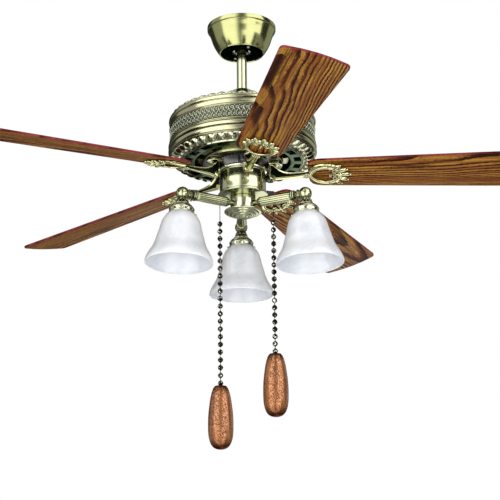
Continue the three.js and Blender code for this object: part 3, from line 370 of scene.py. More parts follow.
def bead_finish():
    """Blackened brass ball chain with small patches of bright metal, painted glints that also catch real
    reflections.
    """
    paint = Paint("chain_metal")
    place = paint.place()
    # painted glints: small patches of bright metal
    brighter = paint.noise(place, 230.0, 2.0, 0.5).between(0.56, 0.62)
    fine = paint.noise(place, 900.0, 2.0, 0.5)
    return paint.finish(
        Base_Color=paint.mix(brighter, (0.008, 0.008, 0.007), (0.55, 0.53, 0.46)),
        Metallic=1.0,
        Roughness=0.12 + 0.1 * fine,
        Normal=paint.bump(fine, 0.06, 0.0002),
    )


def hidden_metal(name, light, dark, rough, metal=1.0, scale=60.0, edge=1.0):
    """A plain works finish: mottled, with fine scratches. edge is how bright it is at a slant."""
    paint = Paint(name)
    place = paint.place()
    mottle = paint.noise(place, scale, 4.0, 0.6)
    scratch = paint.noise(paint.stretch(place, (scale * 2, scale * 2, scale * 14)), 1.0, 2.0, 0.6)
    return paint.finish(
        Base_Color=paint.mix(mottle.between(0.3, 0.7), light, dark),
        Metallic=metal,
        Specular_Tint=(edge, edge, edge),
        Roughness=rough + 0.15 * scratch,
        Normal=paint.bump(scratch, 0.12, 0.0003),
    )


def winding_finish():
    """Lacquered copper wire, wound round the stator."""
    paint = Paint("copper_winding")
    place = paint.place()
    inputs = {"Vector": place, "Scale": 320.0, "Distortion": 0.6}
    wires = paint.node("ShaderNodeTexWave", {"bands_direction": "Z"}, inputs)
    mottle = paint.noise(place, 80.0, 3.0, 0.6)
    return paint.finish(
        Base_Color=paint.mix(mottle.between(0.3, 0.7), (0.42, 0.13, 0.05), (0.25, 0.07, 0.03)),
        Metallic=1.0,
        Roughness=0.35 + 0.1 * mottle,
        Normal=paint.bump(wires, 0.4, 0.0004),
    )


brass = brass_finish("antique_brass", (0.4, 0.4, 0.26))
lamp_brass = brass_finish("lamp_brass", (0.5, 0.5, 0.36), (0.008, 0.01, 0.005), 0.11, 300.0, 0.008)
arm_brass = brass_finish("arm_brass", (0.34, 0.34, 0.2), (0.008, 0.01, 0.005), 0.13, 300.0, 0.008)
lobe_brass = brass_finish("lobe_brass", (0.46, 0.46, 0.31), (0.005, 0.007, 0.003), 0.11, 700.0, 0.01)
canopy_brass = brass_finish("canopy_brass", (0.3, 0.3, 0.125), (0.014, 0.016, 0.006), 0.13, 420.0)
band_brass = brass_finish("band_brass", panel=(-0.2766, -0.2484))
cast_brass = brass_finish("cast_brass", (0.6, 0.57, 0.31), (0.003, 0.004, 0.002), 0.1, 120.0, 0.007)
# painted highlight: a near-white copy of the brass for the ring over the switch housing
highlight_brass = brass_finish("highlight_brass", (0.8, 0.78, 0.62), (0.05, 0.052, 0.036), 0.16)
relief_brass = brass_finish("relief_brass", (0.5, 0.52, 0.4), (0.03, 0.036, 0.026), 0.2, 300.0, 0.0014)
bronze = dark_bronze_finish()
# painted shade: a near-black copy of the bronze for brass parts that lie in shade, the canopy's cover ring and the
# sunk sides of the blade irons
painted_shade_bronze = dark_bronze_finish("painted_shade_bronze", (0.009, 0.012, 0.008), (0.3, 0.36, 0.27))
rotor_bronze = rotor_finish()
OAK_TONES = ((0.55, 0.265, 0.04), (0.31, 0.103, 0.017), (0.115, 0.027, 0.009), (0.014, 0.003, 0.001))
WALNUT_TONES = ((0.1, 0.045, 0.018), (0.07, 0.03, 0.012), (0.045, 0.018, 0.008), (0.014, 0.005, 0.003))
CHERRY_TONES = ((0.28, 0.055, 0.055), (0.23, 0.038, 0.042), (0.17, 0.024, 0.028), (0.1, 0.012, 0.015))
oak = board_finish("oak_veneer", OAK_TONES)
walnut = board_finish("walnut_face", WALNUT_TONES)
cherry = board_finish("cherry_edge", CHERRY_TONES, 0.36)
drop_woods = {"fan": turned_wood_finish(-0.8021, -0.9351), "light": turned_wood_finish(-0.7392, -0.8722)}
alabaster = alabaster_finish()
bead_metal = bead_finish()
zinc = hidden_metal("zinc_steel", (0.5, 0.51, 0.52), (0.34, 0.35, 0.37), 0.3)
# painted shade: the aluminium hanger ball inside the canopy is near black
aluminium = hidden_metal("aluminium_painted_shade", (0.01, 0.01, 0.01), (0.006, 0.006, 0.007), 0.6, edge=0.1)
plastic = hidden_metal("black_plastic", (0.02, 0.02, 0.021), (0.035, 0.035, 0.036), 0.4, 0.0, 200.0)
copper = winding_finish()
bulb_white = hidden_metal("bulb_glass", (0.8, 0.8, 0.78), (0.72, 0.72, 0.7), 0.25, 0.0, 30.0)


# ---------------------------------------------------------------- ways of making a piece
def clear():
    bpy.ops.object.select_all(action="DESELECT")


def chosen(piece):
    """Makes the piece the only one that the next step works on."""
    clear()
    piece.select_set(True)
    bpy.context.view_layer.objects.active = piece
    return piece


def editing(mode="EDIT"):
    bpy.ops.object.mode_set(mode=mode)


def named(name):
    piece = bpy.context.object
    piece.name = name
    piece.data.name = name
    return piece


def settle(piece, matrix=None):
    """Puts the piece's place into its mesh."""
    chosen(piece)
    if matrix is not None:
        piece.matrix_world = matrix @ piece.matrix_world
    bpy.ops.object.transform_apply(location=True, rotation=True, scale=True)
    return piece


def smooth(piece, angle):
    chosen(piece)
    bpy.ops.object.shade_smooth_by_angle(angle=radians(angle))
    return piece


def all_smooth(piece):
    for face in piece.data.polygons:
        face.use_smooth = True
    return piece


def modify(piece, kind, **settings):
    chosen(piece)
    modifier = piece.modifiers.new(kind.lower(), kind)
    for key, value in settings.items():
        setattr(modifier, key, value)
    bpy.ops.object.modifier_apply(modifier=modifier.name)
    return piece


def ease(piece, width, angle, segments):
    """Rounds the edges that are sharper than the angle."""
    settings = {"width": width * MM, "segments": segments, "limit_method": "ANGLE", "angle_limit": radians(angle)}
    return modify(piece, "BEVEL", **settings)


def outwards(piece):
    chosen(piece)
    editing()
    bpy.ops.mesh.select_all(action="SELECT")
    bpy.ops.mesh.remove_doubles(threshold=1e-6)
    bpy.ops.mesh.normals_make_consistent(inside=False)
    editing("OBJECT")
    return piece


def joined(name, pieces):
    """Several pieces as one mesh."""
    clear()
    for piece in pieces:
        piece.select_set(True)
    bpy.context.view_layer.objects.active = pieces[0]
    if len(pieces) > 1:
        bpy.ops.object.join()
    return named(name)


def cut(piece, *cutters):
    """Takes the cutters out of the piece, and removes them."""
    cutter = joined("cutter", cutters)
    modify(piece, "BOOLEAN", operation="DIFFERENCE", object=cutter, solver="EXACT")
    bpy.data.objects.remove(cutter)
    return piece


def twin(piece, name):
    """A copy with its own mesh."""
    other = piece.copy()
    other.data = piece.data.copy()
    other.name = name
    other.data.name = name
    bpy.context.scene.collection.objects.link(other)
    return other


def copied(piece, name, matrix):
    """A copy with its own mesh, moved by the matrix."""
    return settle(twin(piece, name), matrix)


def spoke(angle):
    return Matrix.Rotation(radians(angle), 4, "Z")


def about_x(angle):
    return Matrix.Rotation(angle, 4, "X")


def about_y(angle):
    return Matrix.Rotation(angle, 4, "Y")


def along(x, y, z):
    return Matrix.Translation(Vector((x, y, z)) * MM)


def block(size, matrix=None, height=0):
    """A box to cut with, its middle at the height before the matrix moves it."""
    clear()
    bpy.ops.mesh.primitive_cube_add(size=1, location=(0, 0, height * MM))
    piece = named("block")
    piece.scale = [side * MM for side in size]
    return settle(piece, matrix)


def peg(sides, radius, depth, turn, reach, height):
    """A round bar to cut with, which points outwards at the turn."""
    clear()
    bpy.ops.mesh.primitive_cylinder_add(vertices=sides, radius=radius * MM, depth=depth * MM)
    return settle(named("peg"), spoke(turn) @ along(reach, 0, height) @ about_y(pi / 2))


def turned(name, profile, segments=96, closed=False, angle=32):
    """A lathe piece round Z: a circle drawn out ring by ring. profile is (radius, height) in mm, and edges that are
    sharper than the angle stay sharp."""
    points = list(profile)
    start_on_axis = points[0][0] == 0
    if start_on_axis:
        tip = points.pop(0)
    radius, height = points[0]
    clear()
    bpy.ops.mesh.primitive_circle_add(vertices=segments, radius=radius * MM, location=(0, 0, height * MM))
    piece = named(name)
    editing()
    if closed:
        points.append(points[0])
    for wide, level in points[1:]:
        bpy.ops.mesh.extrude_region_move(TRANSFORM_OT_translate={"value": (0, 0, (level - height) * MM)})
        height = level
        if wide == 0:
            bpy.ops.mesh.merge(type="CENTER")
            break
        bpy.ops.transform.resize(value=(wide / radius, wide / radius, 1), center_override=(0, 0, level * MM))
        radius = wide
    if start_on_axis:
        bpy.ops.mesh.select_all(action="DESELECT")
        bpy.ops.mesh.select_non_manifold(extend=False)
        lift = (tip[1] - points[0][1]) * MM
        bpy.ops.mesh.extrude_region_move(TRANSFORM_OT_translate={"value": (0, 0, lift)})
        bpy.ops.mesh.merge(type="CENTER")
    editing("OBJECT")
    settle(piece)
    outwards(piece)
    return smooth(piece, angle)


def smooth_profile(knots, steps=4):
    """A smooth curve through (radius, height) knots."""
    points = []
    for i in range(len(knots) - 1):
        before = knots[max(i - 1, 0)]
        start, end = knots[i], knots[i + 1]
        after = knots[min(i + 2, len(knots) - 1)]
        for k in range(steps):
            t = k / steps
            points.append(tuple(
                0.5 * (2 * start[j] + (end[j] - before[j]) * t
                       + (2 * before[j] - 5 * start[j] + 4 * end[j] - after[j]) * t * t
                       + (3 * start[j] - before[j] - 3 * end[j] + after[j]) * t ** 3)
                for j in range(2)
            ))
    points.append(knots[-1])
    return points


def moulding(radius, top, bottom, proud):
    """A half-round bead on a wall of the given radius, from its top down, in eight facets."""
    turns = [pi * i / 8 for i in range(9)]
    return [(radius + proud * sin(turn), top + (bottom - top) * (1 - cos(turn)) / 2) for turn in turns]


def ball(name, size, centre, segments, rings):
    """A rounded blob, drawn out to size (half-lengths along X, Y, Z in mm)."""
    clear()
    bpy.ops.mesh.primitive_uv_sphere_add(segments=segments, ring_count=rings, radius=MM)
    piece = named(name)
    piece.matrix_world = along(*centre) @ Matrix.Diagonal((*size, 1))
    return all_smooth(settle(piece))


def meshed(name, points, faces):
    mesh = bpy.data.meshes.new(name)
    mesh.from_pydata(points, [], faces)
    return placed(name, mesh)


def skin(name, sections, closed=False):
    """A skin over rings of points (mm), each ring the same length."""
    count = len(sections[0])
    points = [Vector(p) * MM for ring in sections for p in ring]
    faces = []
    spans = len(sections) if closed else len(sections) - 1
    for i in range(spans):
        a, b = i * count, ((i + 1) % len(sections)) * count
        for k in range(count):
            n = (k + 1) % count
            faces.append((a + k, a + n, b + n, b + k))
    if not closed:
        faces.append(tuple(range(count - 1, -1, -1)))
        faces.append(tuple((len(sections) - 1) * count + k for k in range(count)))
    return all_smooth(outwards(meshed(name, points, faces)))


def tube(name, path, radii, sides, closed=False):
    """A round bar along a path of points in mm."""
    path = [Vector(p) for p in path]
    count = len(path)
    radii = radii if isinstance(radii, list) else [radii] * count
    sections = []
    side = None
    for i, centre in enumerate(path):
        if closed:
            tangent = path[(i + 1) % count] - path[i - 1]
        else:
            tangent = path[min(i + 1, count - 1)] - path[max(i - 1, 0)]
        tangent.normalize()
        if side is None:
            side = tangent.orthogonal().normalized()
        side = (side - tangent * side.dot(tangent)).normalized()
        other = tangent.cross(side)
        turns = [FULL * k / sides for k in range(sides)]
        sections.append([centre + (side * cos(turn) + other * sin(turn)) * radii[i] for turn in turns])
    return skin(name, sections, closed)


def dress(piece, finish, body, slot, *nodes):
    """Gives the piece its finish and its body, and hides the solids that it stands for."""
    piece.data.materials.clear()
    piece.data.materials.append(finish)
    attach(piece, body)
    if nodes:
        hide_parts(*nodes)
    return piece


def screw(head, height, place):
    """A round-headed screw that points up Z of its place, with its head below the origin."""
    piece = turned("screw", [
        (0, -height), (head * 0.55, -height * 0.92), (head * 0.85, -height * 0.6), (head, -height * 0.1),
        (head, 0), (0, 0),
    ], 20, angle=50)
    cut(piece, block((head * 2.4, 1.0, height * 0.8), height=-height))
    return settle(smooth(piece, 40), place)


# ---------------------------------------------------------------- pull chains, each on its straight wire
CHAINS = {
    "fan": {"x": -50, "y": 40, "first": -444.8, "pitch": 16.7, "beads": 22},
    "light": {"x": 64.6, "y": 20, "first": -450.0, "pitch": 15.7, "beads": 19},
}
SLEEVE_END = -385.5
WIRE_STEPS = 24
BEAD = 5.6  # radius
DROP_GAP = 1
WIRE_IN_DROP = 5.4
DROP_LENGTH = 133
DROP_SHAPE = [
    (12.7, 0), (13.1, 0.01), (14.3, 0.02), (15.8, 0.036), (17.8, 0.08), (19.8, 0.13), (21.9, 0.21),
    (23.9, 0.32), (25.3, 0.41), (26.2, 0.52), (26.4, 0.62), (26.1, 0.73), (25.1, 0.8), (23.4, 0.86),
    (20.6, 0.915), (16.8, 0.955), (11.6, 0.982), (5.8, 0.996),
]


def pull_chain(kind, chain):
    """One chain: its straight wire, its beads, and the drop at its end."""
    body = kind + "_chain"
    x, y = chain["x"], chain["y"]
    last = chain["first"] - chain["pitch"] * (chain["beads"] - 1)
    drop_top = last - BEAD - DROP_GAP
    wire_end = drop_top - WIRE_IN_DROP
    path = [(x, y, SLEEVE_END + (wire_end - SLEEVE_END) * i / WIRE_STEPS) for i in range(WIRE_STEPS + 1)]
    wire = tube(kind + "_chain_wire", path, 0.8, 8)
    turns = [radians(67 - i * 134 / 10) for i in range(11)]
    neck = [(0.8, 6.4), (1.9, 5.9), (2.0, 5.3)]
    lower_neck = [(radius, -height) for radius, height in reversed(neck)]
    bead = turned("bead", neck + [(BEAD * cos(a), BEAD * sin(a)) for a in turns] + lower_neck, 20, angle=55)
    beads = []
    for i in range(chain["beads"]):
        beads.append(copied(bead, f"{kind}_bead_{i}", along(x, y, chain["first"] - chain["pitch"] * i)))
    bpy.data.objects.remove(bead)
    beads = joined(kind + "_chain_beads", beads)
    shape = smooth_profile([(radius, -share * DROP_LENGTH) for radius, share in DROP_SHAPE], 3)
    top = [(0, -5.7), (1.1, -5.7), (1.1, -0.6), (1.9, 0), (11.6, 0)]
    drop = turned(kind + "_drop", top + shape[1:] + [(0, -DROP_LENGTH)], 72, angle=40)
    settle(drop, along(x, y, drop_top))
    dress(wire, bead_metal, body, "antique_brass", kind + "_pull_chain")
    dress(beads, bead_metal, body, "antique_brass")
    dress(drop, drop_woods[kind], body, "turned_wood", kind + "_pull_drop")
    tuple(MM * c for c in path[0])
    (SLEEVE_END - wire_end) * MM
    [tuple(MM * c for c in p) for p in path]


for kind, chain in CHAINS.items():
    pull_chain(kind, chain)


# ---------------------------------------------------------------- canopy, rod and yoke cover
def canopy_pieces():
    bowl = smooth_profile([
        (72.3, -11.6), (71.2, -15), (68.4, -22), (65.9, -30), (63.2, -38), (59.0, -47), (53.8, -56),
        (50.4, -60.6),
    ], 3)
    outer = [
        (74.4, 0), (75.3, -0.4), (75.5, -1.2), (75.4, -8.0), (75.0, -9.0), (74.0, -9.5), (73.2, -10.0),
        (72.6, -10.8), *bowl, (50.0, -61.4), (49.2, -61.8), (49.0, -62.4), (48.6, -63.1), (48.0, -63.4),
        (47.2, -63.2), (46.8, -62.6),
    ]
    inner = [
        (46.2, -59.3), (21.0, -59.3), (21.0, -57.5), (48.8, -57.5), (61.5, -37), (70.0, -15), (73.2, -6),
        (73.4, 0),
    ]
    canopy = turned("canopy_bell", outer + inner, 128, closed=True)
    dress(canopy, canopy_brass, "ceiling_mount", "antique_brass", "canopy")
    ring = turned("canopy_cover", [
        (45.8, -59.6), (45.8, -61.6), (45.2, -62.1), (43.2, -62.1), (42.4, -61.2), (36, -60.9), (24.5, -60.9),
        (23.0, -61.6), (21.2, -61.6), (20.8, -61.0), (20.8, -59.6),
    ], 96, closed=True)
    # painted shade: the brass cover ring is given the near-black bronze
    dress(ring, painted_shade_bronze, "ceiling_mount", "antique_brass", "canopy_cover_ring")
    screws = [screw(3.4, 1.6, spoke(turn) @ along(33, 0, -60.9)) for turn in (116, 296)]
    dress(joined("canopy_screws", screws), zinc, "ceiling_mount", "zinc_steel")


def rod_and_yoke():
    rod = turned("downrod_tube", [
        (10.4, -14), (11, -14.6), (11, -177.4), (10.4, -178), (8.6, -178), (8, -177.4), (8, -14.6), (8.6, -14),
    ], 64, closed=True)
    dress(rod, brass, "fan_frame", "antique_brass", "downrod")
    bell = smooth_profile([
        (17.6, -152.0), (22, -154.2), (28, -161.6), (34.5, -172), (39.4, -181.6), (43.2, -187.2),
    ])
    cover = turned("yoke_bell", [
        (11.8, -152), (12.4, -151.7), (16.8, -151.7), *bell[1:], (43.9, -188.2), (44, -189.4), (43.4, -190),
        (42.0, -190), (41.2, -188), (37.4, -181), (32, -171.4), (26, -161), (20.4, -155.4), (11.8, -154.6),
    ], closed=True)
    dress(cover, brass, "fan_frame", "antique_brass", "yoke_cover")


canopy_pieces()
rod_and_yoke()


# ---------------------------------------------------------------- motor housing
LOBES = 42
LOBE_STEPS = 12
RIM = 156.8
LOBE_INNER = 132.0
LOBE_RISE = 12.5
LOBE_DEPTH = 6.2
LOBE_ROWS = (  # how far round from the rim, as a share of a quarter turn, and how full the lobes are there
    (0.03, 0.3), (0.1, 0.85), (0.2, 1.0), (0.32, 1.0), (0.46, 1.0), (0.6, 1.0), (0.74, 1.0), (0.86, 0.9),
    (0.95, 0.45),
)
BAND_WALL = 156.3  # radius


def lobed(name, rim_height, side, rows_after, rows_before):
    """A ring of gadroons: a turned shell whose middle rows are pressed outwards between neighbouring valleys.
    side is 1 over the band and -1 under it."""
    rows, levels = [], {}
    for sweep, full in LOBE_ROWS:
        turn = sweep * pi / 2
        radius = LOBE_INNER - LOBE_DEPTH * cos(turn) + (RIM - LOBE_INNER) * cos(turn)
        height = rim_height + side * (LOBE_RISE - LOBE_DEPTH) * sin(turn)
        rows.append((radius, height))
        levels[round(radius, 2), round(height, 2)] = (turn, full)
    piece = turned(name, rows_before + rows + rows_after, LOBES * LOBE_STEPS, closed=True)
    for vertex in piece.data.vertices:
        co = vertex.co
        radius = hypot(co.x, co.y)
        key = (round(radius / MM, 2), round(co.z / MM, 2))
        if key not in levels:
            continue
        turn, full = levels[key]
        phase = atan2(co.y, co.x) * LOBES / 2
        lift = LOBE_DEPTH * full * abs(sin(phase)) ** 0.7 * MM
        co.x += co.x / radius * lift * cos(turn)
        co.y += co.y / radius * lift * cos(turn)
        co.z += side * lift * sin(turn)
    piece.data.update()
    return smooth(piece, 60)


def housing_pieces():
    dome = smooth_profile([
        (130.2, -212.6), (120, -209.6), (104, -204.6), (84, -198.6), (64, -193.4), (48, -190.6),
    ], 3)
    top = lobed("housing_top", -224, 1, [
        (131.4, -212.0), (130.8, -212.2), *dome[1:], (46, -190.3), (10.6, -190.3), (10.6, -192.4),
        (46, -192.5), (84, -200.9), (120, -212.0), (128.6, -215.4), (150.5, -222.6), (154.4, -223.9),
    ], [(156.2, -224), (156.4, -223.4)])
    dress(top, lobe_brass, "fan_frame", "antique_brass", "motor_housing_top")

    band_profile = [
        (154.6, -224.3), (156.4, -224.3),
        *moulding(156.0, -224.6, -233.4, 3.2),
        (155.6, -234.0), (155.5, -234.8), (156.4, -235.4), (157.0, -236.2),
        *smooth_profile([(157.2, -237), (156.0, -240), (155.8, -243), (156.8, -245.6)], 3)[1:],
        (157.6, -246.0), (158.2, -246.8), (157.8, -247.6), (156.6, -248.0),
        (BAND_WALL, -248.6), (BAND_WALL, -276.2),
        (156.8, -276.8), (158.0, -277.2), (158.3, -278.0), (157.9, -278.8), (157.0, -279.3), (157.6, -280.0),
        (158.4, -280.5), (158.4, -281.3), (157.6, -282.0),
        *moulding(157.2, -282.6, -291.4, 2.8),
        (156.6, -291.9), (155.6, -292.4), (155.6, -293.2), (157.0, -293.8),
        *smooth_profile([(158.4, -294.2), (159.9, -296.4), (159.8, -300.2), (158.2, -303.6)], 3)[1:],
        (157.4, -304.4), (155.8, -304.8), (155.6, -305.8), (156.6, -306.6), (157.2, -307.2), (156.8, -307.7),
        (154.6, -307.7),
    ]
    band = turned("housing_band", band_profile, 252, closed=True, angle=28)
    dress(band, band_brass, "fan_frame", "antique_brass", "motor_housing_band")

    lower = lobed("housing_gadroons", -308, -1, [
        (131.2, -320.2), (130.4, -320.5), (130.2, -319.6), (130.4, -318.3), (134, -317), (152.6, -310.4),
        (154.4, -308.4),
    ], [(156.2, -308), (156.4, -308.6)])
    dress(lower, lobe_brass, "fan_frame", "antique_brass", "motor_housing_lower_ring")


RELIEF_REPEATS = 92


def vine_unit():
    """One repeat of the band's relief: two rows of a curled stem with its leaves. It lies on the X axis' positive
    side, facing outwards."""
    wide = FULL * BAND_WALL / RELIEF_REPEATS
    parts = []
    for row, (z, flip) in enumerate(((-255.6, 1), (-269.0, -1))):
        shift = wide * 0.5 * row
        path, radii = [], []
        for i in range(10):
            share = i / 9
            angle = radians(-70 * flip) + flip * 1.2 * FULL * share
            size = 4.6 - 3.2 * share
            path.append((BAND_WALL + 0.3, shift + size * cos(angle), z + size * sin(angle)))
            radii.append(0.75 - 0.25 * share)
        parts.append(tube("curl", path, radii, 4))
        for a, lift, length, broad, turn in (
            (shift + wide * 0.5, 4.4 * flip, 2.6, 0.9, 0.9 * flip),
            (shift + wide * 0.42, -3.6 * flip, 2.8, 0.9, -0.8 * flip),
            (shift + wide * 0.1, -6.2 * flip, 2.4, 0.8, 0.3 * flip),
            (shift, 0.0, 1.2, 1.0, 0.4),
        ):
            leaf = ball("leaf", (0.9, length, broad), (0, 0, 0), 6, 4)
            settle(leaf, about_x(turn))
            parts.append(settle(leaf, along(BAND_WALL, a, z + lift)))
    return joined("vine_unit", parts)


def band_relief():
    unit = vine_unit()
    vines = [copied(unit, f"vine_{i}", spoke(360 / RELIEF_REPEATS * i)) for i in range(RELIEF_REPEATS)]
    bpy.data.objects.remove(unit)
    dress(joined("band_relief", vines), relief_brass, "fan_frame", "antique_brass")


def merged_copy(node, name, bevel, segments):
    """A copy of a solid with its triangles merged and its edges eased."""
    piece = twin(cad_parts[node], name)
    for key in list(piece.keys()):
        if key.startswith("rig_"):
            del piece[key]
    piece.parent = None
    chosen(piece)
    editing()
    bpy.ops.mesh.select_all(action="SELECT")
    bpy.ops.mesh.remove_doubles(threshold=1e-6)
    bpy.ops.mesh.dissolve_limited(angle_limit=radians(1.5))
    editing("OBJECT")
    return smooth(ease(piece, bevel, 30, segments), 35)


VENTS = 18
VENT_INNER, VENT_MIDDLE, VENT_OUTER = 111.8, 119, 126.3
VENT_BAR = 17
WINDOWS = 10


def grille_and_rotor():
    grille = turned("grille_plate", [
        (130.0, -318.2), (130.0, -320.2), (129.4, -320.5), (104.0, -320.5), (103.4, -320.2), (103.4, -318.2),
        (104, -318), (129.4, -318),
    ], 216, closed=True)
    cutters = []
    half = FULL / VENTS / 2 - asin(VENT_BAR / 2 / VENT_MIDDLE)
    for i in range(VENTS):
        start = FULL * (i + 0.5) / VENTS
        turns = [start - half + 2 * half * k / 6 for k in range(7)]
        ring = [(VENT_INNER * cos(t), VENT_INNER * sin(t)) for t in turns]
        ring += [(VENT_OUTER * cos(t), VENT_OUTER * sin(t)) for t in reversed(turns)]
        cutters.append(skin("vent", [[(x, y, z) for x, y in ring] for z in (-325, -313)]))
    cut(grille, *cutters)
    ease(grille, 0.45, 50, 2)
    dress(smooth(grille, 40), bronze, "fan_frame", "dark_bronze", "vent_grille")

    bell = smooth_profile([(114, -300), (111.5, -305), (106.5, -309.6), (101.5, -313.6), (98.4, -315.4)], 3)
    case = turned("rotor_case", [
        (12, -226), (96, -227.2), (104, -229.6), (110.6, -234.6), (113.4, -240), (114, -246), (114, -298),
        *bell[1:], (94, -316.2), (88.4, -316.6), (87.4, -317.0), (87.0, -318), (87.0, -322.6), (86.2, -323.8),
        (84.6, -324.0), (80, -324.0), (79.4, -323.4), (63.6, -323.4), (63, -324), (57.4, -324.0),
        (56.2, -323.4), (56.0, -322.4), (56.0, -316.6), (12, -316.0), (12, -309.6), (90, -309.2), (97, -307.4),
        (103, -303), (110.4, -296.4), (110.4, -243), (106.4, -235.6), (99.4, -231.2), (12, -232.4),
    ], 160, closed=True, angle=34)
    places = [spoke(360 / WINDOWS * (i + 0.5)) @ along(95, 0, -315.5) for i in range(WINDOWS)]
    windows = joined("windows", [block((15.5, 26, 30), place) for place in places])
    cut(case, ease(windows, 2.5, 30, 3))
    dress(smooth(case, 34), rotor_bronze, "rotor", "dark_bronze", "rotor")


housing_pieces()
band_relief()
grille_and_rotor()


# ---------------------------------------------------------------- blade irons and blades
BLADES = 5
FIRST_BLADE = -78.4
PITCH = radians(13.1)
DROOP = radians(1.8)
BLADE_ROOT = (150, 0, -351.4)
BLADE_FRAME = along(*BLADE_ROOT) @ about_y(DROOP) @ about_x(-PITCH)
LOOP_X, LOOP_LONG, LOOP_BROAD = 28.0, 34.0, 31.0  # the loop's middle and half-lengths, in the blade's frame
LOOP_STEPS = 56
CURL_STEPS = 16
LOOP_LEAVES = (  # turn, reach and size
    (0, 24.5, 1.12), (26, 22.5, 1.0), (-26, 22.5, 1.0), (52, 19.0, 0.9), (-52, 19.0, 0.9), (78, 14.5, 0.8),
    (-78, 14.5, 0.8),
)
ARM_STATIONS = (  # distance from the axis, top, bottom, width and twist
    (57.5, -325.2, -358.0, 10.5, 0.0), (61, -325.8, -361.5, 13.0, 0.0), (66, -328.5, -362.2, 14.8, 0.0),
    (72, -334.0, -362.4, 15.6, 0.0), (79, -341.0, -362.0, 16.0, -0.5), (88, -345.6, -361.4, 15.8, -1.5),
    (98, -348.0, -360.8, 15.4, -3.0), (110, -349.4, -360.0, 15.0, -5.0), (122, -350.2, -359.0, 15.6, -8.0),
    (133, -350.8, -358.0, 17.0, -11.0), (141, -351.2, -357.2, 19.0, -13.1), (147, -351.6, -356.6, 23.0, -13.1),
)


def loop_and_leaves():
    """The ornament at the end of a blade iron, in the blade's own frame."""
    # the broad outer flange of the loop, higher on its outside, with a round ridge on its inner edge
    flange, ridge = [], []
    for i in range(LOOP_STEPS):
        turn = FULL * i / LOOP_STEPS
        outward = Vector((cos(turn) / LOOP_LONG, sin(turn) / LOOP_BROAD, 0)).normalized()
        waist = 1 - 0.16 * max(0.0, -cos(turn)) ** 3
        middle = Vector((LOOP_X + LOOP_LONG * cos(turn), LOOP_BROAD * sin(turn) * waist, 0))
        wide = 5.2 + 1.8 * abs(sin(turn)) + 0.5 * max(0.0, cos(turn))
        section = []
        for a, z in (
            (-wide + 1, -0.9), (wide - 0.4, -0.9), (wide + 0.4, -2.2), (wide * 0.6, -4.6), (0, -6.6),
            (-wide * 0.5, -6.4), (-wide + 0.6, -3.8),
        ):
            point = middle + outward * a
            section.append((point.x, point.y, z))
        flange.append(section)
        inner = middle + outward * (-wide + 1.2)
        ridge.append((inner.x, inner.y, -5.0))
    parts = [
        modify(skin("loop_flange", flange, closed=True), "SUBSURF", levels=1, render_levels=1),
        tube("loop_ridge", ridge, 1.7, 8, closed=True),
    ]

    # leaves round the outer end of the loop, each with a rib, and with a bead at its tip except the last two
    for turn, reach, size in LOOP_LEAVES:
        a = radians(turn)
        start = Vector((LOOP_X + LOOP_LONG * cos(a) * 0.86, LOOP_BROAD * sin(a) * 0.9, 0))
        lead = turn * 0.72
        away = Vector((cos(radians(lead)), sin(radians(lead)), 0))
        middle = start + away * reach * 0.42
        half_long, half_broad = reach * 0.52, 5.4 * size
        leaf = ball("leaf", (half_long, half_broad, 2.7), (0, 0, 0), 18, 10)
        for vertex in leaf.data.vertices:
            co = vertex.co
            share = co.x / (half_long * MM)
            co.z -= 1.1 * MM * (1 - share * share) - 0.9 * MM * abs(co.y) / (half_broad * MM)
            co.y *= 1 + 0.35 * share
        parts.append(settle(leaf, along(middle.x, middle.y, -4.0) @ spoke(lead)))
        rib = []
        for share in (0.0, 0.2, 0.4, 0.6, 0.8, 0.95):
            point = start + away * reach * share
            rib.append((point.x, point.y, -6.2 - 1.3 * sin(pi * share)))
        parts.append(tube("rib", rib, [0.9, 1.1, 1.1, 1.0, 0.8, 0.4], 6))
        if abs(turn) < 60:
            tip = start + away * reach * 0.98
            parts.append(ball("tip", (2.5 * size, 2.5 * size, 2.2), (tip.x, tip.y, -4.6), 12, 8))

    # two inward curls and the crest between them
    curl_x, crest_x = LOOP_X + LOOP_LONG * 0.6, LOOP_X + LOOP_LONG * 0.52
    for side in (1, -1):
        curl, radii = [], []
        for i in range(CURL_STEPS + 1):
            share = i / CURL_STEPS
            turn = radians(90 + 300 * share)
            size = 6.4 - 3.4 * share
            curl.append((curl_x + size * cos(turn) * 0.9, side * (11.5 + size * sin(turn)), -4.6 - 0.6 * share))
            radii.append(1.9 - 0.9 * share)
        parts.append(tube("curl", curl, radii, 8))
        parts.append(ball("curl_bead", (2.0, 2.0, 1.8), curl[-1], 10, 8))
    parts.append(ball("crest", (9.5, 4.2, 3.2), (LOOP_X + LOOP_LONG * 0.86, 0, -5.0), 16, 10))
    for i in range(4):
        size = 2.2 - 0.25 * i
        parts.append(ball("crest_bead", (size, size, 1.9), (crest_x - 4.2 * i + 4, 0, -5.2), 10, 8))
    return settle(joined("ornament", parts), BLADE_FRAME)


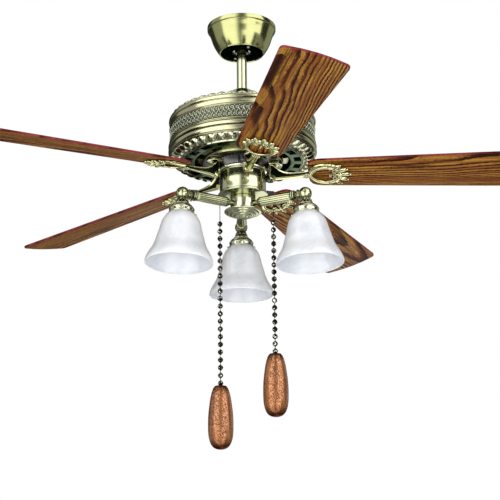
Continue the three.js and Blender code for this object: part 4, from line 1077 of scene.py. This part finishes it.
def arm_sections():
    """The rings of the arm, from the foot under the rotor down and out to the loop, and those of the sheets over
    its sunk sides, which carry painted shade.
    """
    sections, webs = [], []
    for x, high, low, wide, twist in ARM_STATIONS:
        middle = (high + low) / 2
        deep = (high - low) / 2
        cap, bead = min(5.4, deep * 0.8), min(4.4, deep * 0.62)
        half = [(wide * share, z) for share, z in (
            (0.0, deep), (0.3, deep - 0.1), (0.44, deep - 0.6), (0.5, deep - cap * 0.34), (0.47, deep - cap * 0.66),
            (0.36, deep - cap * 0.92), (0.24, deep - cap), (0.22, -deep + bead), (0.31, -deep + bead * 0.9),
            (0.37, -deep + bead * 0.6), (0.34, -deep + bead * 0.25), (0.2, -deep), (0.0, -deep - 0.3),
        )]
        side = [(wide * 0.26, deep - cap + 0.2), (wide * 0.24, -deep + bead - 0.2)]
        t = radians(twist)
        for rings, ring in (
            (sections, half + [(-y, z) for y, z in reversed(half[1:-1])]),
            (webs, side + [(-y, z) for y, z in reversed(side)]),
        ):
            rings.append([(x, y * cos(t) - z * sin(t), middle + y * sin(t) + z * cos(t)) for y, z in ring])
    return sections, webs


def iron_pattern():
    """One blade iron, pointing along +X, and the sheets over the sunk sides of its arm, which carry painted shade.
    """
    sections, webs = arm_sections()
    ornament = loop_and_leaves()
    parts = [smooth(skin("arm_bar", sections), 50)]
    web = smooth(skin("web_pattern", webs[1:-1]), 30)
    # overlapping scales where the arm meets the loop
    for row in range(3):
        for k in range(3 + row % 2):
            y = (k - (2 + row % 2) / 2) * 4.6
            z = -357.6 + row * 0.5 + y * sin(-PITCH) * (0.7 + 0.1 * row)
            parts.append(ball("scale", (3.4, 2.5, 1.7), (133 + row * 4.4, y, z), 10, 6))
    # the scroll at the root, with a spiral on each end
    end = [
        (0, 8.7), (1.6, 8.7), (2.0, 8.1), (3.2, 8.1), (3.6, 8.7), (5.4, 8.5), (6.1, 7.6), (5.6, 6.2),
        (5.6, 1.4), (6.2, 0.8),
    ]
    scroll = turned("scroll", end + [(radius, -height) for radius, height in reversed(end)], 28)
    parts.append(settle(scroll, along(65.2, 0, -358.4) @ about_x(pi / 2)))
    # the foot under the rotor
    levels = ((-0.6, -324.4), (0.0, -325.0), (0.0, -328.6), (-0.7, -329.3))
    foot = skin("foot", [[(x, y, z) for x, y in foot_outline(grow)] for grow, z in levels])
    parts.append(smooth(foot, 40))
    return joined("iron_pattern", [joined("arm", parts), ornament]), web


def foot_outline(grow):
    """The foot's plan: a plate with a round outer end."""
    half = 12 + grow
    points = [(57.5 - grow, -half)]
    for i in range(9):
        turn = -pi / 2 + pi * i / 8
        points.append((73.5 + half * cos(turn), half * sin(turn)))
    points.append((57.5 - grow, half))
    return points


def blade_uv(piece, frame_matrix, shift):
    """Lays the blade's own length and width on it, in metres, so that the grain follows it."""
    layer = piece.data.uv_layers.new(name="grain")
    back = frame_matrix.inverted()
    for loop in piece.data.loops:
        place = back @ piece.data.vertices[loop.vertex_index].co
        layer.data[loop.index].uv = (place.x + shift[0], place.y + shift[1])


GRAIN_SHIFTS = ((0.0, 0.0), (1.35, 0.012), (2.6, -0.02), (3.9, 0.02), (5.3, -0.01))
BLADE_SCREWS = ((53, 0), (38, 14), (38, -14))
FOOT_SCREWS = (6.5, -6.5)


def blade_and_irons():
    iron, web = iron_pattern()
    for i in range(BLADES):
        n = i + 1
        turn = spoke(FIRST_BLADE + 360 / BLADES * i)
        place = turn @ BLADE_FRAME
        dress(copied(iron, f"iron_{n}", turn), cast_brass, "rotor", "antique_brass", f"blade_iron_{n}")
        # painted shade: near-black sheets over the sunk sides of the arm
        dress(copied(web, f"iron_web_{n}", turn), painted_shade_bronze, "rotor", "antique_brass")
        heads = [screw(3.6, 1.7, place @ along(x, y, 0) @ Matrix.Rotation(0.6, 4, "Z")) for x, y in BLADE_SCREWS]
        heads += [screw(3.2, 1.8, turn @ along(79, y, -329.2)) for y in FOOT_SCREWS]
        dress(joined(f"iron_screws_{n}", heads), zinc, "rotor", "zinc_steel")
        board = merged_copy(f"blade_{n}", f"board_{n}", 1.5, 3)
        blade_uv(board, place, GRAIN_SHIFTS[i])
        dress(board, oak, "rotor", "walnut", f"blade_{n}")
        board.data.materials.append(cherry)
        board.data.materials.append(walnut)
        down = (place.to_3x3() @ Vector((0, 0, -1))).normalized()
        for face in board.data.polygons:
            facing = face.normal.dot(down)
            face.material_index = 0 if facing > 0.9 else 2 if facing < -0.98 else 1
    bpy.data.objects.remove(iron)
    bpy.data.objects.remove(web)


blade_and_irons()


# ---------------------------------------------------------------- switch housing
FIRST_ARM = 91.7  # degrees: the first lamp arm, with the reverse slider over it
NOTCHES = 20


def notch_ring():
    """The ring over the switch housing, painted near white as a highlight, with small notches round its upper edge.
    """
    ring = turned("switch_ring", [
        (10.6, -346.0), (46.5, -346.0), (46.5, -343.2), (47.4, -343.0), (50.6, -343.0), (51.8, -342.2),
        (52.0, -341.2), (52.0, -338.2), (51.6, -337.2), (50.6, -336.6), (48.4, -336.5), (46.8, -337.4),
        (12.0, -341.0), (10.6, -341.0),
    ], 160, closed=True)
    cut(ring, *[peg(10, 1.1, 6, 360 / NOTCHES * (i + 0.5), 52.4, -336.6) for i in range(NOTCHES)])
    dress(smooth(ring, 34), highlight_brass, "fan_frame", "antique_brass", "switch_housing_plate")


def switch_housing_piece():
    can = turned("switch_can", [
        (33.5, -346.3), (47.6, -346.3), (48.9, -346.8), (49.5, -348.0), (49.5, -388.2), (49.2, -389.0),
        (48.7, -389.3), (48.7, -390.1), (49.3, -390.5), (49.5, -391.4), (49.5, -393.0), (48.9, -393.9),
        (48.0, -394.0), (47.5, -393.0), (47.5, -348.9), (46.8, -348.3), (33.5, -348.3),
    ], 160, closed=True, angle=34)
    slot = block((12, 17, 6.2), spoke(FIRST_ARM) @ along(48.5, 0, -368))
    turns = [degrees(atan2(chain["y"], chain["x"])) for chain in CHAINS.values()]
    cut(can, slot, *[peg(24, 4.7, 14, turn, 47, -382.5) for turn in turns])
    dress(smooth(can, 34), brass, "fan_frame", "antique_brass", "switch_housing")


def housing_screws():
    """Small side screws that hold the switch housing to the fitter."""
    places = [spoke(turn) @ along(49.4, 0, -384.4) @ about_y(-pi / 2) for turn in (-116, 4, 124)]
    heads = [screw(2.6, 1.5, place) for place in places]
    dress(joined("side_screws", heads), zinc, "fan_frame", "zinc_steel")


notch_ring()
switch_housing_piece()
housing_screws()


# ---------------------------------------------------------------- light kit
ARM_HEIGHT = -416.5
ARM_REACH = 148
LAMPS = 3
LAMP_SPLAY = radians(-3)
REEDS = 12
LEAVES = 9
GLASS_WALL, GLASS_DROP = 3.0, 1.2  # how far the inner wall of a shade lies inside the outer one and below it


def fitter_pieces():
    plate = turned("fitter_disc", [
        (7.2, -394.3), (52.6, -394.3), (53.6, -394.6), (54.0, -395.4), (53.8, -396.2), (52.8, -396.6),
        (51.4, -396.8), (46, -397.6), (40, -398.9), (34, -399.2), (28, -399.5), (7.2, -399.5),
    ], 128, closed=True)
    dress(plate, brass, "fan_frame", "antique_brass", "light_fitter_plate")
    drum = turned("fitter_drum", [
        (24.4, -399.8), (26.2, -399.8), (26.9, -400.2), (27.0, -401.0), (27.0, -427.6), (26.8, -428.6),
        (26.2, -429.4), (25.0, -429.7), (24.4, -429.0),
    ], closed=True)
    cut(drum, *[peg(32, 7.2, 16, FIRST_ARM + 360 / LAMPS * i, 27, ARM_HEIGHT) for i in range(LAMPS)])
    dress(smooth(drum, 34), lamp_brass, "fan_frame", "antique_brass", "light_fitter")
    cap = turned("stepped_cap", [
        (0, -430.0), (38.2, -430.0), (39.4, -430.3), (40.0, -431.2), (39.9, -432.6), (39.0, -433.6),
        (37.4, -434.0), (36.2, -434.0), (34.6, -434.3), (33.6, -435.0), (33.2, -436.2), (32.2, -437.0),
        (30.6, -437.2), (29.2, -437.1), (27.8, -437.4), (26.6, -438.4), (26.2, -439.4), (25.0, -440.0),
        (23.0, -440.0), (21.4, -440.0), (19.6, -440.4), (18.4, -441.3), (17.8, -442.2), (16.2, -442.6),
        (12.4, -442.6), (10.4, -442.8), (9.0, -443.4), (7.6, -444.1), (4.4, -444.4), (0, -444.5),
    ], 128, angle=45)
    dress(cap, brass, "fan_frame", "antique_brass", "bottom_cap")


def arm_pattern():
    """One lamp arm along +X: a reeded spindle between plain necks, with a turned collar at its outer end."""
    turns = [FULL * k / (REEDS * 6) for k in range(REEDS * 6)]

    def circle(x, radius, depth=0.0):
        wide = [radius - depth * (1 - abs(cos(turn * REEDS / 2)) ** 0.5) for turn in turns]
        return [(x, r * cos(turn), ARM_HEIGHT + r * sin(turn)) for r, turn in zip(wide, turns)]

    def beads(middle, wide, base, tall):
        sweeps = (0.0, 0.5, 1.05, 1.57, 2.09, 2.64, 3.14)
        return [circle(middle - wide * cos(a), base + (tall - base) * sin(a)) for a in sweeps]

    start, end = 40.8, 115.0
    shares = [i / 14 for i in range(15)]
    spindle = [circle(start + (end - start) * share, 10.3 + 0.5 * sin(pi * share), 1.0) for share in shares]
    return smooth(skin("arm_pattern", [
        circle(25.2, 5.6), circle(35.0, 5.2), *beads(36.6, 1.0, 5.6, 7.6), *beads(38.6, 0.8, 6.4, 8.6),
        circle(39.6, 7.8), circle(40.0, 9.2, 0.3), *spindle, circle(116.0, 9.4, 0.4), circle(116.4, 8.2),
        *beads(118.6, 1.9, 8.2, 11.8), *beads(122.6, 1.6, 8.0, 11.2), circle(124.6, 7.4), circle(126.4, 7.9),
        circle(129.6, 9.6), circle(131.6, 11.0), circle(132.6, 11.2), circle(133.2, 10.4), circle(133.4, 8.0),
        circle(135.2, 6.8),
    ]), 50)


LEAF_ROWS = (  # radius and height of the top and of the tip, half-width, and how far round the row starts
    ((9.0, -9.4), (14.6, -18.6), 3.4, 0.0), ((9.6, -15.4), (15.2, -23.2), 3.9, 0.5),
)


def elbow_pattern():
    """The ball at the end of an arm, on a crown of pointed leaves that spreads over the shade holder."""
    parts = [turned("neck", [
        (0, 14.0), (3.4, 13.6), (6.8, 12.3), (9.9, 9.9), (12.3, 6.8), (13.6, 3.4), (14.0, 0.0), (13.7, -3.2),
        (12.6, -6.2), (11.2, -8.4), (9.4, -9.8), (8.4, -10.4), (8.0, -12.0), (8.6, -15.0), (9.8, -18.0),
        (11.6, -21.0), (12.8, -22.6), (12.6, -23.3), (0, -23.5),
    ], 48, angle=40)]
    for top, low, wide, start in LEAF_ROWS:
        sections = []
        for i in range(8):
            share = i / 7
            half = wide * (0.5 + 0.5 * sin(pi * (share * 0.9 + 0.05))) * (1 - 0.85 * share ** 3)
            radius = top[0] + (low[0] - top[0]) * share ** 1.5
            z = top[1] + (low[1] - top[1]) * share
            thick = 1.5 * (1 - 0.6 * share ** 2)
            sections.append([(radius + proud, y, z) for proud, y in (
                (-0.7, -half), (thick * 0.55, -half * 0.5), (thick, 0), (thick * 0.55, half * 0.5), (-0.7, half),
            )])
        for k in range(LEAVES):
            parts.append(settle(skin("leaf", sections), spoke(360 * (k + start) / LEAVES)))
    return settle(smooth(joined("elbow_pattern", parts), 44), along(0, 0, ARM_HEIGHT))


def gallery_pattern():
    """The shade holder: a domed cap with a skirt and three thumb screws."""
    parts = [turned("gallery", [
        (0, -440.3), (14.8, -440.3), (16.4, -440.6), (17.1, -441.5), (16.8, -442.3), (19.2, -443.5),
        (22.0, -445.5), (24.2, -448.2), (25.2, -450.4), (25.5, -451.2), (26.6, -451.7), (27.0, -452.6),
        (26.7, -453.5), (26.2, -453.9), (26.2, -458.5), (26.7, -459.0), (27.0, -460.0), (26.7, -460.9),
        (26.2, -461.3), (25.6, -461.0), (25.5, -450.8), (0, -450.8),
    ], angle=34)]
    for turn in (60, 180, 300):
        stem = turned("thumb_stem", [
            (0, 0), (1.3, 0), (1.3, 5.6), (1.8, 6.0), (2.9, 6.4), (3.3, 7.2), (3.3, 8.8), (2.9, 9.4), (0, 9.8),
        ], 20, angle=40)
        parts.append(settle(stem, spoke(turn) @ along(25.8, 0, -456.4) @ about_y(pi / 2 + 0.3)))
    return joined("gallery_pattern", parts)


def shade_pattern():
    outer = smooth_profile([
        (24.5, -451.3), (24.6, -459.0), (25.8, -462.7), (29.6, -465.2), (33.4, -469.2), (37.0, -474.6),
        (40.0, -481.0), (42.2, -488.5), (46.0, -503.5), (50.2, -518.0), (53.6, -529.5), (56.0, -536.0),
        (59.4, -542.8), (63.5, -549.8), (67.2, -557.0), (69.9, -563.8), (70.9, -568.4),
    ])
    inner = [(radius - GLASS_WALL, height - GLASS_DROP) for radius, height in reversed(outer)]
    rim = [(71.0, -569.5), (70.8, -570.7), (70.2, -571.6), (69.2, -572.1), (68.2, -571.9), (67.7, -571.1)]
    return turned("shade_pattern", outer + rim + inner, 96, closed=True, angle=60)


def lamp_pattern():
    socket = turned("socket_pattern", [
        (0, -451.1), (12.5, -451.1), (14.6, -451.8), (15.8, -453.4), (16.0, -455.4), (16.0, -482.6),
        (15.6, -483.6), (14.6, -484.1), (13.6, -483.8), (13.1, -482.8), (13.1, -464.1), (0, -464.1),
    ], 48, angle=40)
    side = smooth_profile([
        (12.5, -464.6), (12.5, -476), (12.6, -484.6), (14.2, -492), (17.6, -502), (19.3, -511), (19.4, -517),
        (17.6, -525), (13.4, -530.8), (7.4, -533.6), (0.6, -534.1),
    ], 3)
    bulb = turned("bulb_pattern", side[:-1] + [(0, -534.1)], 48, angle=60)
    return socket, bulb


def light_kit():
    fitter_pieces()
    socket, bulb = lamp_pattern()
    splay = along(ARM_REACH, 0, ARM_HEIGHT) @ about_y(LAMP_SPLAY) @ along(0, 0, -ARM_HEIGHT)
    patterns = (  # pattern, its place on the arm, piece, finish, slot and solid
        (arm_pattern(), Matrix(), "reeded_arm", arm_brass, "antique_brass", "light_arm"),
        (elbow_pattern(), splay, "elbow", arm_brass, "antique_brass", "lamp_elbow"),
        (gallery_pattern(), splay, "gallery", lamp_brass, "antique_brass", "shade_gallery"),
        (shade_pattern(), splay, "shade", alabaster, "alabaster_glass", "glass_shade"),
        (socket, splay, "socket", bulb_white, "bulb_glass", "lamp_socket"),
        (bulb, splay, "bulb", bulb_white, "bulb_glass", "lamp_bulb"),
    )
    for i in range(LAMPS):
        turn = spoke(FIRST_ARM + 360 / LAMPS * i)
        for pattern, place, name, finish, slot, node in patterns:
            dress(copied(pattern, f"{name}_{i + 1}", turn @ place), finish, "fan_frame", slot, f"{node}_{i + 1}")
    for row in patterns:
        bpy.data.objects.remove(row[0])


light_kit()


# ---------------------------------------------------------------- solids that keep their shape
CARRIED = (
    (zinc, ("hanger_bracket", "hanger_pin", "yoke_pin", "motor_shaft")),
    (zinc, ("motor_bearing_upper", "motor_bearing_lower")),
    (brass, ("motor_yoke",)),
    (aluminium, ("hanger_ball",)),
    (copper, ("stator",)),
    (plastic, ("capacitor", "fan_speed_switch", "light_switch", "reverse_switch", "reverse_slider")),
)
for finish, nodes in CARRIED:
    for node in nodes:
        for face_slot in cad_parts[node].material_slots:
            face_slot.material = finish


# ---------------------------------------------------------------- studio
FLOOR_HEIGHT = -2.44
FLOOR_SIZE = 240
CARD_STEPS = 72
SEEN_RAYS = ("Is Camera Ray", "Is Glossy Ray", "Is Transmission Ray")


def world_light():
    """White where the camera, a reflection or the glass looks at it, and softer as a light."""
    world = bpy.data.worlds.new("studio")
    bpy.context.scene.world = world
    paint = Paint("studio", world)
    soft = paint.node("ShaderNodeBackground", {}, {"Color": (1, 1, 1), "Strength": 0.45})
    white = paint.node("ShaderNodeBackground", {}, {"Color": (1, 1, 1), "Strength": 1.0})
    choice = paint.node("ShaderNodeMixShader", {}, {0: paint.seen_by(*SEEN_RAYS), 1: soft, 2: white})
    paint.node("ShaderNodeOutputWorld", {}, {"Surface": choice})


def soft_box(name, azimuth, distance, height, wide, tall, radiance):
    """A soft box that faces the fan. Azimuth is from the camera's side, in degrees to the right."""
    turn = radians(azimuth)
    place = Vector((distance * sin(turn), -distance * cos(turn), height))
    data = bpy.data.lights.new(name, "AREA")
    data.shape = "RECTANGLE"
    data.size = wide
    data.size_y = tall
    data.energy = radiance * wide * tall * pi
    lamp = placed(name, data)
    aim = Vector((0, 0, height)) - place
    lamp.matrix_world = Matrix.Translation(place) @ aim.to_track_quat("-Z", "Y").to_matrix().to_4x4()
    lamp.visible_camera = False
    lamp.visible_glossy = False


def reflector(name, outline, stops):
    """A curved card all round the fan that only shows in reflections. stops are (degrees from the camera's side, to
    the right, and brightness)."""
    count = len(outline)
    points = []
    for i in range(CARD_STEPS):
        turn = FULL * i / CARD_STEPS
        points += [Vector((radius * sin(turn), -radius * cos(turn), height)) * MM for radius, height in outline]
    faces = []
    for i in range(CARD_STEPS):
        here, there = i * count, (i + 1) % CARD_STEPS * count
        faces += [(here + k, there + k, there + k + 1, here + k + 1) for k in range(count - 1)]
    card = meshed(name, points, faces)
    paint = Paint(name)
    x, y, _ = paint.split(paint.place())
    turn = x.maths("ARCTAN2", x, y * -1.0) / FULL + 0.5
    brightest = max(level for _, level in stops)
    shades = [(degree / 360 + 0.5, (level / brightest,) * 3) for degree, level in stops]
    shader = paint.node("ShaderNodeEmission", {}, {"Color": paint.ramp(turn, *shades), "Strength": brightest})
    paint.node("ShaderNodeOutputMaterial", {}, {"Surface": shader})
    card.data.materials.append(paint.owner)
    card.visible_camera = False
    card.visible_shadow = False
    card.visible_diffuse = False
    card.visible_transmission = False


def floor():
    """A white floor far below the fan."""
    clear()
    bpy.ops.mesh.primitive_plane_add(size=FLOOR_SIZE, location=(0, 0, FLOOR_HEIGHT))
    ground = named("floor")
    paint = Paint("floor")
    cloud = paint.noise(paint.place(), 0.6, 2.0, 0.5)
    ground.data.materials.append(paint.finish(
        Base_Color=paint.mix(cloud, (0.80, 0.80, 0.80), (0.84, 0.84, 0.84)),
        Roughness=0.8,
        Emission_Color=paint.mix(paint.seen_by(*SEEN_RAYS), (0.0, 0.0, 0.0), (0.4, 0.4, 0.4)),
        Emission_Strength=1.0,
    ))


world_light()
floor()
soft_box("front_box", 0, 3.0, -1.1, 3.4, 2.6, 2.45)
soft_box("left_box", -50, 2.6, -0.5, 1.0, 3.0, 0.7)
soft_box("right_box", 50, 2.6, -0.5, 1.0, 3.0, 0.6)
reflector("low_card", ((350, -2425), (1500, -2410), (2350, -2150), (2700, -1300), (2760, -600)), (
    (-180, 2.2), (-176, 2.2), (-175, 0.25), (-149, 0.25), (-147, 0.4), (-111, 0.4), (-109, 0.6), (-85, 0.7),
    (-83, 0.08), (-73, 0.08), (-71, 3.4), (-22, 3.4), (-14, 1.6), (-7, 0.7), (-5, 0.2), (-3, 0.7), (4, 1.7),
    (9, 3.3), (50, 3.4), (51.5, 0.08), (62, 0.1), (64, 0.6), (110, 0.45), (112, 0.3), (156, 0.3), (158, 2.2),
    (180, 2.2),
))
reflector("high_card", ((2760, -600), (2760, 0), (2760, 1200), (2760, 2700)), (
    (-180, 0.15), (-156, 0.15), (-154, 0.06), (-117, 0.06), (-115, 0.8), (-72, 0.8), (-70, 3.4), (-22, 3.2),
    (-12, 1.2), (-8, 0.4), (2, 0.25), (10, 0.5), (16, 1.6), (20, 3.4), (74, 3.4), (76, 0.06), (107, 0.06),
    (109, 0.7), (149, 0.7), (151, 0.15), (180, 0.15),
))

scene = bpy.context.scene
scene.view_settings.view_transform = "Standard"
